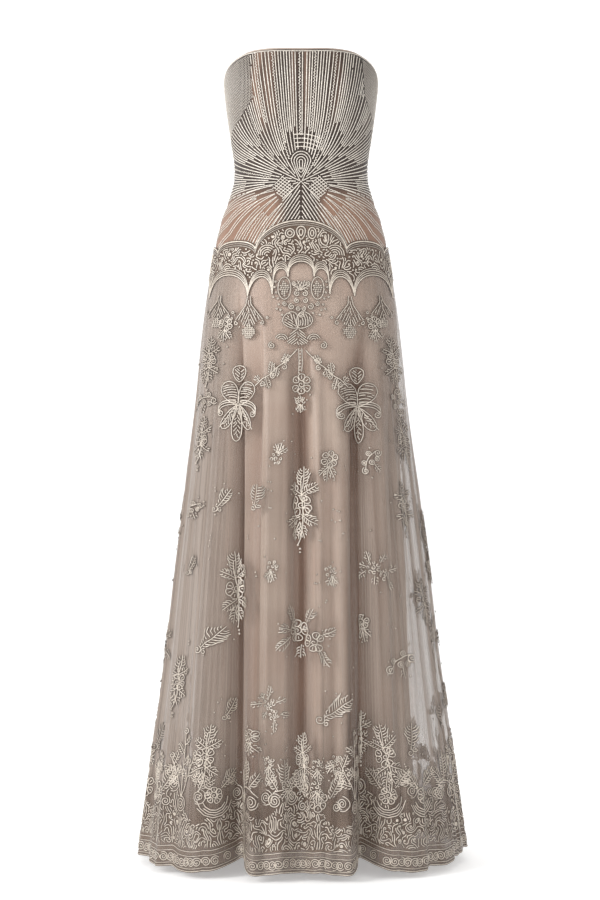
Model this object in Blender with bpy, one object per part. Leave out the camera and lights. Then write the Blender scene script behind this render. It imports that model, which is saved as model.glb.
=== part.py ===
"""A strapless evening gown: beaded bodice, lace yoke, satin underskirt and net overskirt.

The gown keeps the hollow form that it has when it is worn. X runs across the front, -Y is the front and
+Z is up. The origin is the middle of the waist, where the wearer holds the gown up.

Each cloth panel is a wall between two faces. A face is a grid of points worked out from one table of
level sections, so that panels that are sewn together, or lie on each other, share the same shape.
An angle is measured round the gown: 0 at centre front, 90 at the +X side seam, 180 at centre back.
"""

import bpy
import numpy as np

# Lengths of the gown, as heights over the waist.
FRONT_TOP = 0.202
HIP_SEAM = -0.160
FOLD_TOP = -0.235
SATIN_HEM = -1.158
HEM = -1.189

# Cloth thicknesses, and the gap that sewn pieces keep.
SEAM_GAP = 0.0003
BODICE_WALL = 0.0020
SATIN_WALL = 0.0012
NET_WALL = 0.0010
LACE_WALL = 0.0011
LAYER_GAP = 0.0009
LACE_GAP = 0.0004

# The outside of the gown with its folds smoothed away, level by level.
SECTION_COLUMNS = ("height", "half_width", "front_depth", "back_depth", "squareness")
SECTIONS = (
    (0.220, 0.1300, 0.104, 0.091, 2.30),
    (0.158, 0.1350, 0.113, 0.093, 2.30),
    (0.130, 0.1325, 0.112, 0.091, 2.30),
    (0.094, 0.1280, 0.104, 0.087, 2.25),
    (0.058, 0.1226, 0.096, 0.084, 2.20),
    (0.022, 0.1175, 0.090, 0.081, 2.20),
    (-0.010, 0.1172, 0.089, 0.081, 2.20),
    (-0.050, 0.1278, 0.094, 0.088, 2.20),
    (-0.086, 0.1408, 0.101, 0.098, 2.20),
    (-0.122, 0.1490, 0.107, 0.109, 2.20),
    (-0.158, 0.1548, 0.112, 0.119, 2.20),
    (-0.230, 0.1660, 0.121, 0.134, 2.20),
    (-0.302, 0.1748, 0.131, 0.147, 2.20),
    (-0.410, 0.1842, 0.146, 0.163, 2.25),
    (-0.554, 0.2000, 0.166, 0.182, 2.30),
    (-0.698, 0.2185, 0.186, 0.200, 2.35),
    (-0.842, 0.2355, 0.205, 0.219, 2.40),
    (-0.986, 0.2560, 0.225, 0.239, 2.40),
    (-1.130, 0.2760, 0.243, 0.256, 2.40),
    (-1.230, 0.2910, 0.255, 0.268, 2.40),
)

# The two soft cups of the bodice.
CUP_ANGLE, CUP_SPREAD = 34.0, 20.0
CUP_HEIGHT, CUP_TALL = 0.140, 0.050
CUP_RISE = 0.011

# The top edge of the bodice: level over the bust, dipping under the arms.
TOP_EDGE_COLUMNS = ("angle", "height")
TOP_EDGE = (
    (0.0, FRONT_TOP),
    (36.0, 0.2015),
    (46.0, 0.1990),
    (54.0, 0.1935),
    (64.0, 0.1855),
    (77.0, 0.1720),
    (92.0, 0.1520),
    (115.0, 0.1440),
    (180.0, 0.1400),
)

# The folds of a quarter of the skirt. A fold runs from its angle at the hip to its angle at the hem.
FOLD_COLUMNS = ("hip_angle", "hem_angle", "depth", "half_width")
MAIN_FOLDS = (
    (0.0, 0.0, 0.026, 6.0),
    (43.0, 28.0, 0.058, 5.6),
    (68.0, 52.0, 0.013, 4.6),
    (82.0, 70.0, 0.011, 4.4),
)
SMALL_FOLDS = (
    (22.0, 14.0, 0.008, 2.8),
    (52.0, 38.0, 0.005, 3.0),
    (59.0, 45.0, 0.004, 3.0),
    (75.0, 61.0, 0.003, 3.0),
    (87.0, 80.0, 0.003, 3.2),
)
DEEPEST_FOLD = 28.0
FOLD_GROWTH = 1.1
SATIN_FOLD_SHARE = 0.75

# How far the satin skirt stands inside the net one at the hem, in front and at the sides.
SATIN_INSET_FRONT, SATIN_INSET_SIDE = 0.032, 0.086
SATIN_INSET_GROWTH = 1.15

# The hem hangs lowest between front and side, lifts where the deepest folds turn in, and is cut in
# shallow scallops.
HEM_COLUMNS = ("angle", "height")
HEM_LEVELS = ((0.0, HEM), (42.0, -1.193), (90.0, -1.181))
HEM_LIFT, HEM_LIFT_WIDTH = 0.021, 5.0
HEM_SCALLOPS, HEM_SCALLOP_DEPTH = 24, 0.004

# Scalloped upper edge and arched lower edge of the yoke, for a quarter of the gown, by hip angle.
ARCH_COLUMNS = ("start", "end", "foot", "rise")
YOKE_UPPER_ARCHES = (
    (-38.0, 38.0, -0.139, 0.049),
    (38.0, 72.0, -0.141, 0.017),
    (72.0, 108.0, -0.143, 0.014),
)
YOKE_LOWER_ARCHES = (
    (-41.0, 41.0, -0.229, 0.073),
    (41.0, 75.0, -0.226, 0.042),
    (75.0, 105.0, -0.222, 0.036),
)

# The lace border: its upper edge rises and falls once for each spray.
BORDER_TOP, BORDER_WAVE, BORDER_SPRAYS = -1.022, 0.020, 16

# The bound edge round the top, and the centre-back zip.
BINDING_RADIUS = 0.0016
ZIP_WIDTH, ZIP_WALL = 0.0034, 0.0016
SLIDER_HEIGHT = 0.131
SLIDER_SIZE = (0.0080, 0.0030, 0.0110)
EAR_THICKNESS, EAR_REACH, EAR_TALL = 0.0012, 0.0044, 0.0048
EAR_INSIDE = 0.0022
PIN_RADIUS, PIN_CLEARANCE = 0.0010, 0.0003
PULL_LENGTH, PULL_WIDTH, PULL_THICKNESS = 0.0240, 0.0070, 0.0012

COLOURS = {
    "beaded_net": ((0.50, 0.41, 0.34), 0.55, 0.0),
    "satin": ((0.52, 0.42, 0.36), 0.40, 0.0),
    "net": ((0.48, 0.42, 0.37), 0.70, 0.0),
    "lace": ((0.60, 0.53, 0.45), 0.50, 0.0),
    "binding": ((0.46, 0.39, 0.33), 0.60, 0.0),
    "zip_metal": ((0.62, 0.58, 0.52), 0.30, 1.0),
}


def clear_scene():
    for old in list(bpy.data.objects):
        bpy.data.objects.remove(old)


def material(name):
    """The Principled material of this name, made once."""
    made = bpy.data.materials.get(name)
    if made:
        return made
    colour, roughness, metallic = COLOURS[name]
    made = bpy.data.materials.new(name)
    made.use_nodes = True
    shader = made.node_tree.nodes["Principled BSDF"]
    shader.inputs["Base Color"].default_value = (*colour, 1.0)
    shader.inputs["Roughness"].default_value = roughness
    shader.inputs["Metallic"].default_value = metallic
    return made


def columns(names, rows):
    """A table as a dict of arrays, one for each named column."""
    return dict(zip(names, np.array(rows, float).T))


def smooth_curve(x, xs, ys):
    """A cubic through the table's points, with no corner at any of them. xs must rise."""
    slopes = np.gradient(ys, xs)
    i = np.clip(np.searchsorted(xs, x) - 1, 0, len(xs) - 2)
    step = xs[i + 1] - xs[i]
    s = np.clip((x - xs[i]) / step, 0.0, 1.0)
    start, end = ys[i], ys[i + 1]
    pull_in, pull_out = slopes[i] * step, slopes[i + 1] * step
    return (
        start * (1 + 2 * s) * (1 - s) ** 2
        + pull_in * s * (1 - s) ** 2
        + end * s**2 * (3 - 2 * s)
        - pull_out * s**2 * (1 - s)
    )


def angle_between(angle, centre):
    """The turn from centre to angle, in degrees from -180 to 180."""
    return (angle - centre + 180.0) % 360.0 - 180.0


def from_front(angle):
    """An angle folded onto one quarter: 0 at centre front and centre back, 90 at either side seam."""
    turn = np.abs(angle_between(angle, 0.0))
    return np.where(turn > 90.0, 180.0 - turn, turn)


def body_radius(angle, height):
    """Distance from the gown's axis to its outside, folds left out: a superellipse at each level."""
    table = columns(SECTION_COLUMNS, SECTIONS[::-1])
    levels = {
        name: smooth_curve(height, table["height"], table[name]) for name in SECTION_COLUMNS[1:]
    }
    turn = np.radians(angle)
    depth = np.where(np.cos(turn) > 0, levels["front_depth"], levels["back_depth"])
    power = levels["squareness"]
    across = np.abs(np.sin(turn) / levels["half_width"]) ** power
    along = np.abs(np.cos(turn) / depth) ** power
    radius = (across + along) ** (-1.0 / power)
    cup = np.exp(-(((np.abs(angle_between(angle, 0.0)) - CUP_ANGLE) / CUP_SPREAD) ** 2))
    return radius + CUP_RISE * cup * np.exp(-(((height - CUP_HEIGHT) / CUP_TALL) ** 2))


def at(angle, radius, height):
    """Points from an angle, a distance from the axis and a height."""
    turn = np.radians(angle)
    return np.stack([radius * np.sin(turn), -radius * np.cos(turn), height], axis=-1)


def fall(height):
    """0 where the folds start under the hips, and 1 at the hem."""
    return np.clip((FOLD_TOP - height) / (FOLD_TOP - HEM), 0.0, 1.2)


def cloth_angle(column, height):
    """A column of the skirt is named by its angle at the hem. Folds hang straighter than the skirt
    flares, so at the hip the same column lies further round."""
    folds = columns(FOLD_COLUMNS, MAIN_FOLDS)
    quarter = from_front(column)
    at_hip = np.interp(quarter, [*folds["hem_angle"], 90.0], [*folds["hip_angle"], 90.0])
    share = np.clip(fall(height), 0.0, 1.0) ** 0.7
    moved = at_hip + (quarter - at_hip) * share
    turn = angle_between(column, 0.0)
    front_half = np.abs(turn) <= 90.0
    return np.sign(turn) * np.where(front_half, moved, 180.0 - moved)


def fold_depth(column, height):
    """How far the folds pull the net in towards the axis."""
    quarter = from_front(column)
    total = np.zeros(np.broadcast(column, height).shape)
    for _, hem_angle, depth, half_width in MAIN_FOLDS + SMALL_FOLDS:
        total = total + depth * np.exp(-(((quarter - hem_angle) / half_width) ** 2))
    return total * fall(height) ** FOLD_GROWTH


def net_face(column, height):
    """Outer face of the net overskirt."""
    angle = cloth_angle(column, height)
    radius = body_radius(angle, height) + LAYER_GAP + NET_WALL
    return at(angle, radius - fold_depth(column, height), height)


def satin_face(column, height):
    """Outer face of the satin underskirt, which hangs straighter, inside the net."""
    angle = cloth_angle(column, height)
    side = np.sin(np.radians(angle)) ** 2
    inset = SATIN_INSET_FRONT + (SATIN_INSET_SIDE - SATIN_INSET_FRONT) * side
    radius = body_radius(angle, height) - inset * fall(height) ** SATIN_INSET_GROWTH
    return at(angle, radius - SATIN_FOLD_SHARE * fold_depth(column, height), height)


def bodice_face(column, height):
    """Outer face of the bodice."""
    return at(column, body_radius(column, height), height)


def normals(face, column, height):
    """Outward unit normals of a face, from its slope along and across the cloth."""
    turn, step = 0.05, 0.0005
    across = face(column + turn, height) - face(column - turn, height)
    down = face(column, height - step) - face(column, height + step)
    normal = np.cross(down, across)
    return normal / np.linalg.norm(normal, axis=-1, keepdims=True)


def arches(table, angle):
    """Height of an edge made of arches, each given by its ends, its feet and its rise."""
    quarter = from_front(angle)
    edge = np.zeros(np.shape(quarter))
    for start, end, foot, rise in table:
        inside = (quarter >= start) & (quarter <= end)
        s = (2 * quarter - start - end) / (end - start)
        arch = foot + rise * np.sqrt(np.clip(1 - np.abs(s) ** 2.2, 0.0, 1.0))
        edge = np.where(inside, arch, edge)
    return edge


def bodice_top(angle):
    table = columns(TOP_EDGE_COLUMNS, TOP_EDGE)
    return smooth_curve(np.abs(angle_between(angle, 0.0)), table["angle"], table["height"])


def hem_edge(column):
    """Lower edge of the net: scallops, and a lift where the deepest folds turn in."""
    quarter = from_front(column)
    table = columns(HEM_COLUMNS, HEM_LEVELS)
    level = smooth_curve(quarter, table["angle"], table["height"])
    lift = HEM_LIFT * np.exp(-(((quarter - DEEPEST_FOLD) / HEM_LIFT_WIDTH) ** 2))
    scallop = 1 - np.abs(np.cos(np.radians(column) * HEM_SCALLOPS / 2))
    return level + lift + HEM_SCALLOP_DEPTH * scallop


def border_edge(column):
    """Upper edge of the lace border."""
    return BORDER_TOP + BORDER_WAVE * np.cos(np.radians(column) * BORDER_SPRAYS)


def net_columns(start, end, per_main_fold, per_small_fold):
    """Columns between two hem angles: close together across each fold, wider between folds."""
    spots = [start, end]
    for table, share in ((MAIN_FOLDS, per_main_fold), (SMALL_FOLDS, per_small_fold)):
        for _, hem_angle, _, half_width in table:
            spots += [hem_angle + half_width * s for s in share]
    spots += [9.0, 16.5, 90.0]
    quarter = np.array([s for s in spots[2:] if 0.0 <= s <= 90.0])
    round_gown = np.concatenate([quarter, -quarter, 180.0 - quarter, quarter - 180.0, [180.0]])
    inside = [c for c in round_gown if start < c < end]
    kept = [start]
    for column in sorted(inside):
        if column - kept[-1] > 1.1:
            kept.append(column)
    if end - kept[-1] < 1.1:
        kept.pop()
    return np.array([*kept, end])


def grid_rows(edges, parts):
    """Heights of a panel's rows. edges are the heights of its named lines, from the top down, and
    parts is how many rows of cloth lie between each pair of lines."""
    rows = [edges[0]]
    for upper, lower, count in zip(edges, edges[1:], parts):
        rows += [upper + (lower - upper) * (k + 1) / count for k in range(count)]
    return np.array(rows)


def trimmed(points, start_gap, end_gap):
    """The panel with its two side edges moved in, so that sewn panels keep a gap."""
    kept = points.copy()
    for edge, beside, gap in ((0, 1, start_gap), (-1, -2, end_gap)):
        along = points[:, beside] - points[:, edge]
        along /= np.linalg.norm(along, axis=-1, keepdims=True)
        kept[:, edge] += along * gap
    return kept


def wall(name, outer, inner, finish, parent):
    """A closed panel between two grids of points, each rows by columns by xyz."""
    rows, count = outer.shape[:2]
    index = np.arange(rows * count).reshape(rows, count)
    upper_left, upper_right = index[:-1, :-1].ravel(), index[:-1, 1:].ravel()
    lower_left, lower_right = index[1:, :-1].ravel(), index[1:, 1:].ravel()
    front = np.concatenate(
        [
            np.stack([upper_left, lower_left, lower_right], axis=1),
            np.stack([upper_left, lower_right, upper_right], axis=1),
        ]
    )
    back = front[:, ::-1] + rows * count
    rim = np.concatenate([index[0, ::-1], index[1:, 0], index[-1, 1:], index[-2:0:-1, -1]])
    after = np.roll(rim, -1)
    sides = np.concatenate(
        [
            np.stack([after, rim, rim + rows * count], axis=1),
            np.stack([after, rim + rows * count, after + rows * count], axis=1),
        ]
    )
    points = np.concatenate([outer.reshape(-1, 3), inner.reshape(-1, 3)])
    faces = np.concatenate([front, back, sides])
    mesh = bpy.data.meshes.new(name)
    mesh.from_pydata(points.tolist(), [], faces.tolist())
    mesh.shade_smooth()
    return placed(name, mesh, finish, parent)


def placed(name, mesh, finish, parent, location=(0.0, 0.0, 0.0)):
    made = bpy.data.objects.new(name, mesh)
    mesh.materials.append(material(finish))
    made.location = location
    made.parent = parent
    bpy.context.scene.collection.objects.link(made)
    return made


def cloth_panel(name, face, columns_used, heights, outside, thickness, gaps, finish, parent):
    """A panel whose outer face lies `outside` over a face, along its normals."""
    column = np.broadcast_to(columns_used, heights.shape)
    surface = face(column, heights)
    out = normals(face, column, heights)
    outer = trimmed(surface + out * outside, *gaps)
    inner = trimmed(surface + out * (outside - thickness), *gaps)
    return wall(name, outer, inner, finish, parent)


# The three panels of each layer: name ending, first and last column, and the gaps at those edges.
def panels(centre_back_gap):
    half = SEAM_GAP / 2
    return (
        ("front", -90.0, 90.0, (half, half)),
        ("back_right", 90.0, 180.0, (half, centre_back_gap)),
        ("back_left", -180.0, -90.0, (centre_back_gap, half)),
    )


def make_bodice(gown):
    for ending, start, end, gaps in panels(ZIP_WIDTH / 2 + SEAM_GAP):
        angles = np.linspace(start, end, round((end - start) / 6.0) + 1)
        heights = grid_rows([bodice_top(angles), np.full(angles.shape, HIP_SEAM)], [10])
        cloth_panel(
            "bodice_" + ending, bodice_face, angles, heights, 0.0, BODICE_WALL, gaps, "beaded_net", gown
        )


def make_binding(gown):
    """A round bound edge that sits on the top of the bodice, open at the zip."""
    half_turn = np.degrees((ZIP_WIDTH / 2 + SEAM_GAP) / SECTIONS[1][3])
    angles = np.linspace(-180.0 + half_turn, 180.0 - half_turn, 61)
    lift = BINDING_RADIUS + SEAM_GAP
    spine = bodice_face(angles, bodice_top(angles) + lift)
    spine -= normals(bodice_face, angles, bodice_top(angles)) * BODICE_WALL / 2
    curve = bpy.data.curves.new("top_binding", "CURVE")
    curve.dimensions = "3D"
    curve.bevel_depth = BINDING_RADIUS
    curve.bevel_resolution = 1
    curve.use_fill_caps = True
    line = curve.splines.new("POLY")
    line.points.add(len(spine) - 1)
    for point, place in zip(line.points, spine):
        point.co = (*place, 1.0)
    placed("top_binding", curve, "binding", gown)


def make_underskirt(gown):
    top, hem = HIP_SEAM - SEAM_GAP, SATIN_HEM
    for ending, start, end, gaps in panels(SEAM_GAP / 2):
        used = net_columns(start, end, (-1.2, 0.0, 1.2), (0.0,))
        edges = [np.full(used.shape, z) for z in (top, -0.34, -0.52, hem)]
        heights = grid_rows(edges, [3, 2, 3])
        cloth_panel(
            "underskirt_" + ending, satin_face, used, heights, 0.0, SATIN_WALL, gaps, "satin", gown
        )


def make_overskirt(gown):
    """The net overskirt, with the yoke and the border lying on its first and last rows."""
    for ending, start, end, gaps in panels(SEAM_GAP / 2):
        used = net_columns(start, end, (-1.6, -0.9, -0.4, 0.0, 0.4, 0.9, 1.6), (-1.0, 0.0, 1.0))
        hip = cloth_angle(used, np.full(used.shape, FOLD_TOP))
        edges = [
            arches(YOKE_UPPER_ARCHES, hip),
            arches(YOKE_LOWER_ARCHES, hip),
            np.full(used.shape, -0.34),
            np.full(used.shape, -0.52),
            border_edge(used),
            hem_edge(used),
        ]
        heights = grid_rows(edges, [2, 3, 2, 3, 2])
        cloth_panel(
            "overskirt_" + ending, net_face, used, heights, 0.0, NET_WALL, gaps, "net", gown
        )
        for piece, rows in (("yoke_", heights[:3]), ("hem_border_", heights[-3:])):
            cloth_panel(
                piece + ending, net_face, used, rows, LACE_GAP + LACE_WALL, LACE_WALL, gaps, "lace", gown
            )


def make_zip(gown):
    """The closed coil at centre back, level with the wall of the bodice."""
    offsets = np.array([1.0, 0.0, -1.0]) * ZIP_WIDTH / 2
    top = bodice_top(np.full(3, 180.0))
    heights = grid_rows([top, np.full(3, HIP_SEAM)], [10])
    angles = 180.0 - np.degrees(offsets / body_radius(180.0, heights))
    cloth_panel(
        "back_zip", bodice_face, angles, heights, 0.0, ZIP_WALL, (0.0, 0.0), "zip_metal", gown
    )


def box(size, centre):
    """A closed box as points and faces, for a mesh."""
    corners = np.array([(x, y, z) for x in (-1, 1) for y in (-1, 1) for z in (-1, 1)], float)
    faces = [(0, 1, 3, 2), (4, 6, 7, 5), (0, 4, 5, 1), (2, 3, 7, 6), (0, 2, 6, 4), (1, 5, 7, 3)]
    return corners * np.array(size) / 2 + np.array(centre), faces


def helper_box(name, size, centre):
    points, faces = box(size, centre)
    mesh = bpy.data.meshes.new(name)
    mesh.from_pydata(points.tolist(), [], faces)
    made = bpy.data.objects.new(name, mesh)
    made.hide_render = True
    made.display_type = "WIRE"
    bpy.context.scene.collection.objects.link(made)
    return made


def cross_pin(name, radius, length, centre):
    """A round bar along X, as a helper for a Boolean."""
    bpy.ops.mesh.primitive_cylinder_add(
        vertices=16, radius=radius, depth=length, location=centre, rotation=(0, np.pi / 2, 0)
    )
    made = bpy.context.active_object
    made.name = name
    made.hide_render = True
    made.display_type = "WIRE"
    return made


def combine(target, operation, other):
    step = target.modifiers.new(operation.lower() + "_" + other.name, "BOOLEAN")
    step.operation = operation
    step.object = other
    step.solver = "EXACT"


def make_slider(gown):
    """The slider at the top of the zip and its pull tab, which hangs from the slider's two ears."""
    wide, deep, tall = SLIDER_SIZE
    back_face = float(bodice_face(180.0, SLIDER_HEIGHT + tall / 2)[1])
    middle = back_face + SEAM_GAP + deep / 2
    hinge = (0.0, back_face + SEAM_GAP + deep + EAR_REACH / 2, SLIDER_HEIGHT)

    points, faces = box(SLIDER_SIZE, (0.0, 0.0, 0.0))
    mesh = bpy.data.meshes.new("zip_slider")
    mesh.from_pydata(points.tolist(), [], faces)
    slider = placed("zip_slider", mesh, "zip_metal", gown, (0.0, middle, SLIDER_HEIGHT))
    overlap = 0.0008
    for side, word in ((-1, "left"), (1, "right")):
        ear = helper_box(
            "ear_" + word,
            (EAR_THICKNESS, EAR_REACH + overlap, EAR_TALL),
            (side * (EAR_INSIDE + EAR_THICKNESS / 2), hinge[1] - overlap / 2, SLIDER_HEIGHT),
        )
        combine(slider, "UNION", ear)
    hole = cross_pin("ear_hole", PIN_RADIUS + PIN_CLEARANCE, 3 * wide, hinge)
    combine(slider, "DIFFERENCE", hole)

    # The tab: a neck between the ears, and a long rounded plate that is wider below them.
    below_ears = EAR_TALL / 2 + 0.0008
    neck = EAR_INSIDE - PIN_CLEARANCE
    half = PULL_WIDTH / 2
    turns = np.radians(np.linspace(0.0, 180.0, 13))
    tip = [(half * np.cos(a), -PULL_LENGTH + half - half * np.sin(a)) for a in turns]
    outline = [(neck, 0.0005), (neck, -below_ears), (half, -below_ears - 0.003), *tip]
    outline += [(-half, -below_ears - 0.003), (-neck, -below_ears), (-neck, 0.0005)]
    count = len(outline)
    points = [(x, y, z) for y in (-PULL_THICKNESS / 2, PULL_THICKNESS / 2) for x, z in outline]
    faces = [tuple(range(count)), tuple(range(2 * count - 1, count - 1, -1))]
    faces += [(i, i + count, (i + 1) % count + count, (i + 1) % count) for i in range(count)]
    mesh = bpy.data.meshes.new("zip_pull")
    mesh.from_pydata(points, [], faces)
    pull = placed("zip_pull", mesh, "zip_metal", gown, hinge)
    pin = cross_pin("pull_pin", PIN_RADIUS, 2 * (EAR_INSIDE + EAR_THICKNESS) + 0.0004, hinge)
    combine(pull, "UNION", pin)
    return hinge


def main():
    clear_scene()
    gown = bpy.data.objects.new("gown", None)
    bpy.context.scene.collection.objects.link(gown)
    make_bodice(gown)
    make_binding(gown)
    make_underskirt(gown)
    make_overskirt(gown)
    make_zip(gown)
    hinge = make_slider(gown)
    print("pull tab turns about X through", [round(float(v), 5) for v in hinge])


main()
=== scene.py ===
# %% [markdown]
# # A strapless beaded gown
# The gown is a fitted bodice covered in rows of beads, a scalloped lace yoke, a satin underskirt and a
# sheer net overskirt with sewn sprigs and a deep lace hem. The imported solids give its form. This script
# dresses them: thin cloth on the same form, real bead and cord relief, and materials.

import bpy
import numpy as np
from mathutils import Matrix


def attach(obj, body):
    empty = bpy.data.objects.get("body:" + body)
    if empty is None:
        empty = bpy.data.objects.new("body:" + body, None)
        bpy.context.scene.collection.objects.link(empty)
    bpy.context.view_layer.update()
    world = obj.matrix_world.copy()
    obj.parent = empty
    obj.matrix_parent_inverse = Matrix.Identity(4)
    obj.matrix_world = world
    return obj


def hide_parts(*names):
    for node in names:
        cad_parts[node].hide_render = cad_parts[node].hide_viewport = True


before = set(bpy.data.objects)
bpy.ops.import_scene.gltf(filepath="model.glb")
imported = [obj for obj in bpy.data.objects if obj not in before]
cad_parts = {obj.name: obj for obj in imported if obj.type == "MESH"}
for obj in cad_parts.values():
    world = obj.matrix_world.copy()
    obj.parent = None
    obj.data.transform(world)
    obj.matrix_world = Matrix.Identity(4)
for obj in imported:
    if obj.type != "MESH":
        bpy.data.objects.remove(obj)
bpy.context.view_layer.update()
BODY = "gown"
draw = np.random.default_rng(7)
print("nodes:", sorted(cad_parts))

# %% [markdown]
# ## Camera, light and stage
# The photograph was taken from about four metres, level with the middle of the gown, against white. One
# pixel is 1.763 mm at the gown's middle plane. A large soft light in front and a bright pale sweep
# behind give the same even light, with no hard shadow.

# %% Camera
PIXEL, DISTANCE, EYE_ACROSS, EYE_HEIGHT = 0.0017633, 4.0, -0.0018, -0.485
IMAGE_HEIGHT, SENSOR_HEIGHT = 900 * PIXEL, 24.0
# The pixel of the photograph that shows the gown's middle line at the height MIDDLE.
PHOTO_X, PHOTO_Y, MIDDLE = 301.0, 464.2, -0.51


def add_object(name, data):
    made = bpy.data.objects.new(name, data)
    bpy.context.scene.collection.objects.link(made)
    return made


camera = add_object("camera", bpy.data.cameras.new("camera"))
camera.data.sensor_fit = "VERTICAL"
camera.data.sensor_height = SENSOR_HEIGHT
camera.data.lens = SENSOR_HEIGHT * DISTANCE / IMAGE_HEIGHT
camera.location = (EYE_ACROSS, -DISTANCE, EYE_HEIGHT)
camera.rotation_euler = (np.pi / 2, 0.0, 0.0)
bpy.context.scene.camera = camera
bpy.context.scene.view_settings.view_transform = "Standard"
print("lens", round(camera.data.lens, 1), "mm")


# %% Node helpers
def fill(tree, node, values):
    """Set or link a node's inputs. Each is given by its number, or by its name with _ for a space."""
    for key, value in values.items():
        socket = node.inputs[key.replace("_", " ") if isinstance(key, str) else key]
        if isinstance(value, bpy.types.NodeSocket):
            tree.links.new(value, socket)
        else:
            socket.default_value = (*value, 1.0) if socket.type == "RGBA" else value
    return node


def add_node(tree, kind, **values):
    return fill(tree, tree.nodes.new("ShaderNode" + kind), values)


def ramp(tree, value, low, high, out_low=0.0, out_high=1.0):
    node = add_node(tree, "MapRange", Value=value, From_Min=low, From_Max=high, To_Min=out_low, To_Max=out_high)
    return node.outputs[0]


def principled(name, colour, roughness, **sockets):
    """A Principled material, its tree and its shader."""
    made = bpy.data.materials.new(name)
    made.use_nodes = True
    shader = made.node_tree.nodes["Principled BSDF"]
    fill(made.node_tree, shader, {"Base Color": colour, "Roughness": roughness, **sockets})
    return made, made.node_tree, shader


def srgb(red, green, blue):
    """A colour given as 0 to 255 screen values, made linear for the shader."""
    part = np.array([red, green, blue]) / 255.0
    linear = np.where(part > 0.04045, ((part + 0.055) / 1.055) ** 2.4, part / 12.92)
    return tuple(float(v) for v in linear)


# %% Stage and light
FLOOR, SWEEP_TOP, SWEEP_NEAR, SWEEP_FAR, SWEEP_HALF, SWEEP_RADIUS = -1.202, 6.0, -9.0, 3.3, 16.0, 1.6


def sweep_mesh():
    """A floor that bends up into a wall: a straight run, a quarter circle and a straight rise, carried
    sideways."""
    bend = np.radians(np.linspace(0.0, 90.0, 25))
    y = np.concatenate([[SWEEP_NEAR], SWEEP_FAR + SWEEP_RADIUS * np.sin(bend), [SWEEP_FAR + SWEEP_RADIUS]])
    z = np.concatenate([[0.0], SWEEP_RADIUS * (1 - np.cos(bend)), [SWEEP_TOP]]) + FLOOR
    x = np.array([-SWEEP_HALF, SWEEP_HALF])
    points = np.stack(np.broadcast_arrays(x[None, :], y[:, None], z[:, None]), axis=-1)
    index = np.arange(points.shape[0] * 2).reshape(-1, 2)
    faces = np.stack([index[:-1, 0], index[:-1, 1], index[1:, 1], index[1:, 0]], axis=1)
    return solid_mesh("sweep", points.reshape(-1, 3), faces)


def solid_mesh(name, points, faces):
    """A smooth mesh from arrays of points and faces."""
    mesh = bpy.data.meshes.new(name)
    mesh.from_pydata(points.tolist(), [], faces.tolist())
    mesh.shade_smooth()
    return mesh


paper, *_ = principled("pale_paper", (0.93, 0.93, 0.93), 0.9, Emission_Color=(1, 1, 1), Emission_Strength=0.33)
sweep = add_object("sweep", sweep_mesh())
sweep.data.materials.append(paper)

AIM = np.array([0.0, 0.0, -0.45])
# Name, place, size in metres and watts of each lamp.
LIGHTS = (
    ("key", (-3.2, -2.3, 0.9), 1.8, 120.0),
    ("fill", (2.6, -2.7, 0.2), 2.6, 19.0),
    ("front", (-0.4, -3.6, 0.8), 2.0, 16.0),
    ("back", (0.0, 1.9, 1.6), 2.5, 30.0),
)
for name, place, size, watts in LIGHTS:
    lamp = bpy.data.lights.new(name, "AREA")
    lamp.size, lamp.energy = size, watts
    holder = add_object(name, lamp)
    holder.location = place
    x, y, z = AIM - np.array(place)
    holder.rotation_euler = (float(np.arctan2(np.hypot(x, y), -z)), 0.0, float(np.arctan2(x, -y)) + np.pi)
world = bpy.data.worlds.new("studio")
world.use_nodes = True
# The sky is white to the camera, so a view from any side has a white ground, but lights the gown half as much.
seen = add_node(world.node_tree, "LightPath").outputs["Is Camera Ray"]
sky = {"Color": (1.0, 0.99, 0.98), "Strength": ramp(world.node_tree, seen, 0.0, 1.0, 0.50, 1.0)}
fill(world.node_tree, world.node_tree.nodes["Background"], sky)
bpy.context.scene.world = world
print("stage and", len(LIGHTS), "lights")

# %% [markdown]
# ## The form of the gown
# The solids were worked out from level sections, so the cloth here starts from the same few numbers: how
# wide and deep the gown is at each height, where its big folds run, and where its edges are. A column
# is named by its angle round the hem, from 0 at centre front to 180 at centre back.

# %% The numbers of the form
# Height, half width, depth in front and behind, and squareness of each level section.
SECTIONS = (
    (0.220, 0.1300, 0.104, 0.091, 2.30), (0.158, 0.1350, 0.113, 0.093, 2.30),
    (0.130, 0.1325, 0.112, 0.091, 2.30), (0.094, 0.1280, 0.104, 0.087, 2.25),
    (0.058, 0.1226, 0.096, 0.084, 2.20), (0.022, 0.1175, 0.090, 0.081, 2.20),
    (-0.010, 0.1172, 0.089, 0.081, 2.20), (-0.050, 0.1278, 0.094, 0.088, 2.20),
    (-0.086, 0.1408, 0.101, 0.098, 2.20), (-0.122, 0.1490, 0.107, 0.109, 2.20),
    (-0.158, 0.1548, 0.112, 0.119, 2.20), (-0.230, 0.1660, 0.121, 0.134, 2.20),
    (-0.302, 0.1748, 0.131, 0.147, 2.20), (-0.410, 0.1842, 0.146, 0.163, 2.25),
    (-0.554, 0.2000, 0.166, 0.182, 2.30), (-0.698, 0.2185, 0.186, 0.200, 2.35),
    (-0.842, 0.2355, 0.205, 0.219, 2.40), (-0.986, 0.2560, 0.225, 0.239, 2.40),
    (-1.130, 0.2760, 0.243, 0.256, 2.40), (-1.230, 0.2910, 0.255, 0.268, 2.40),
)
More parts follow.
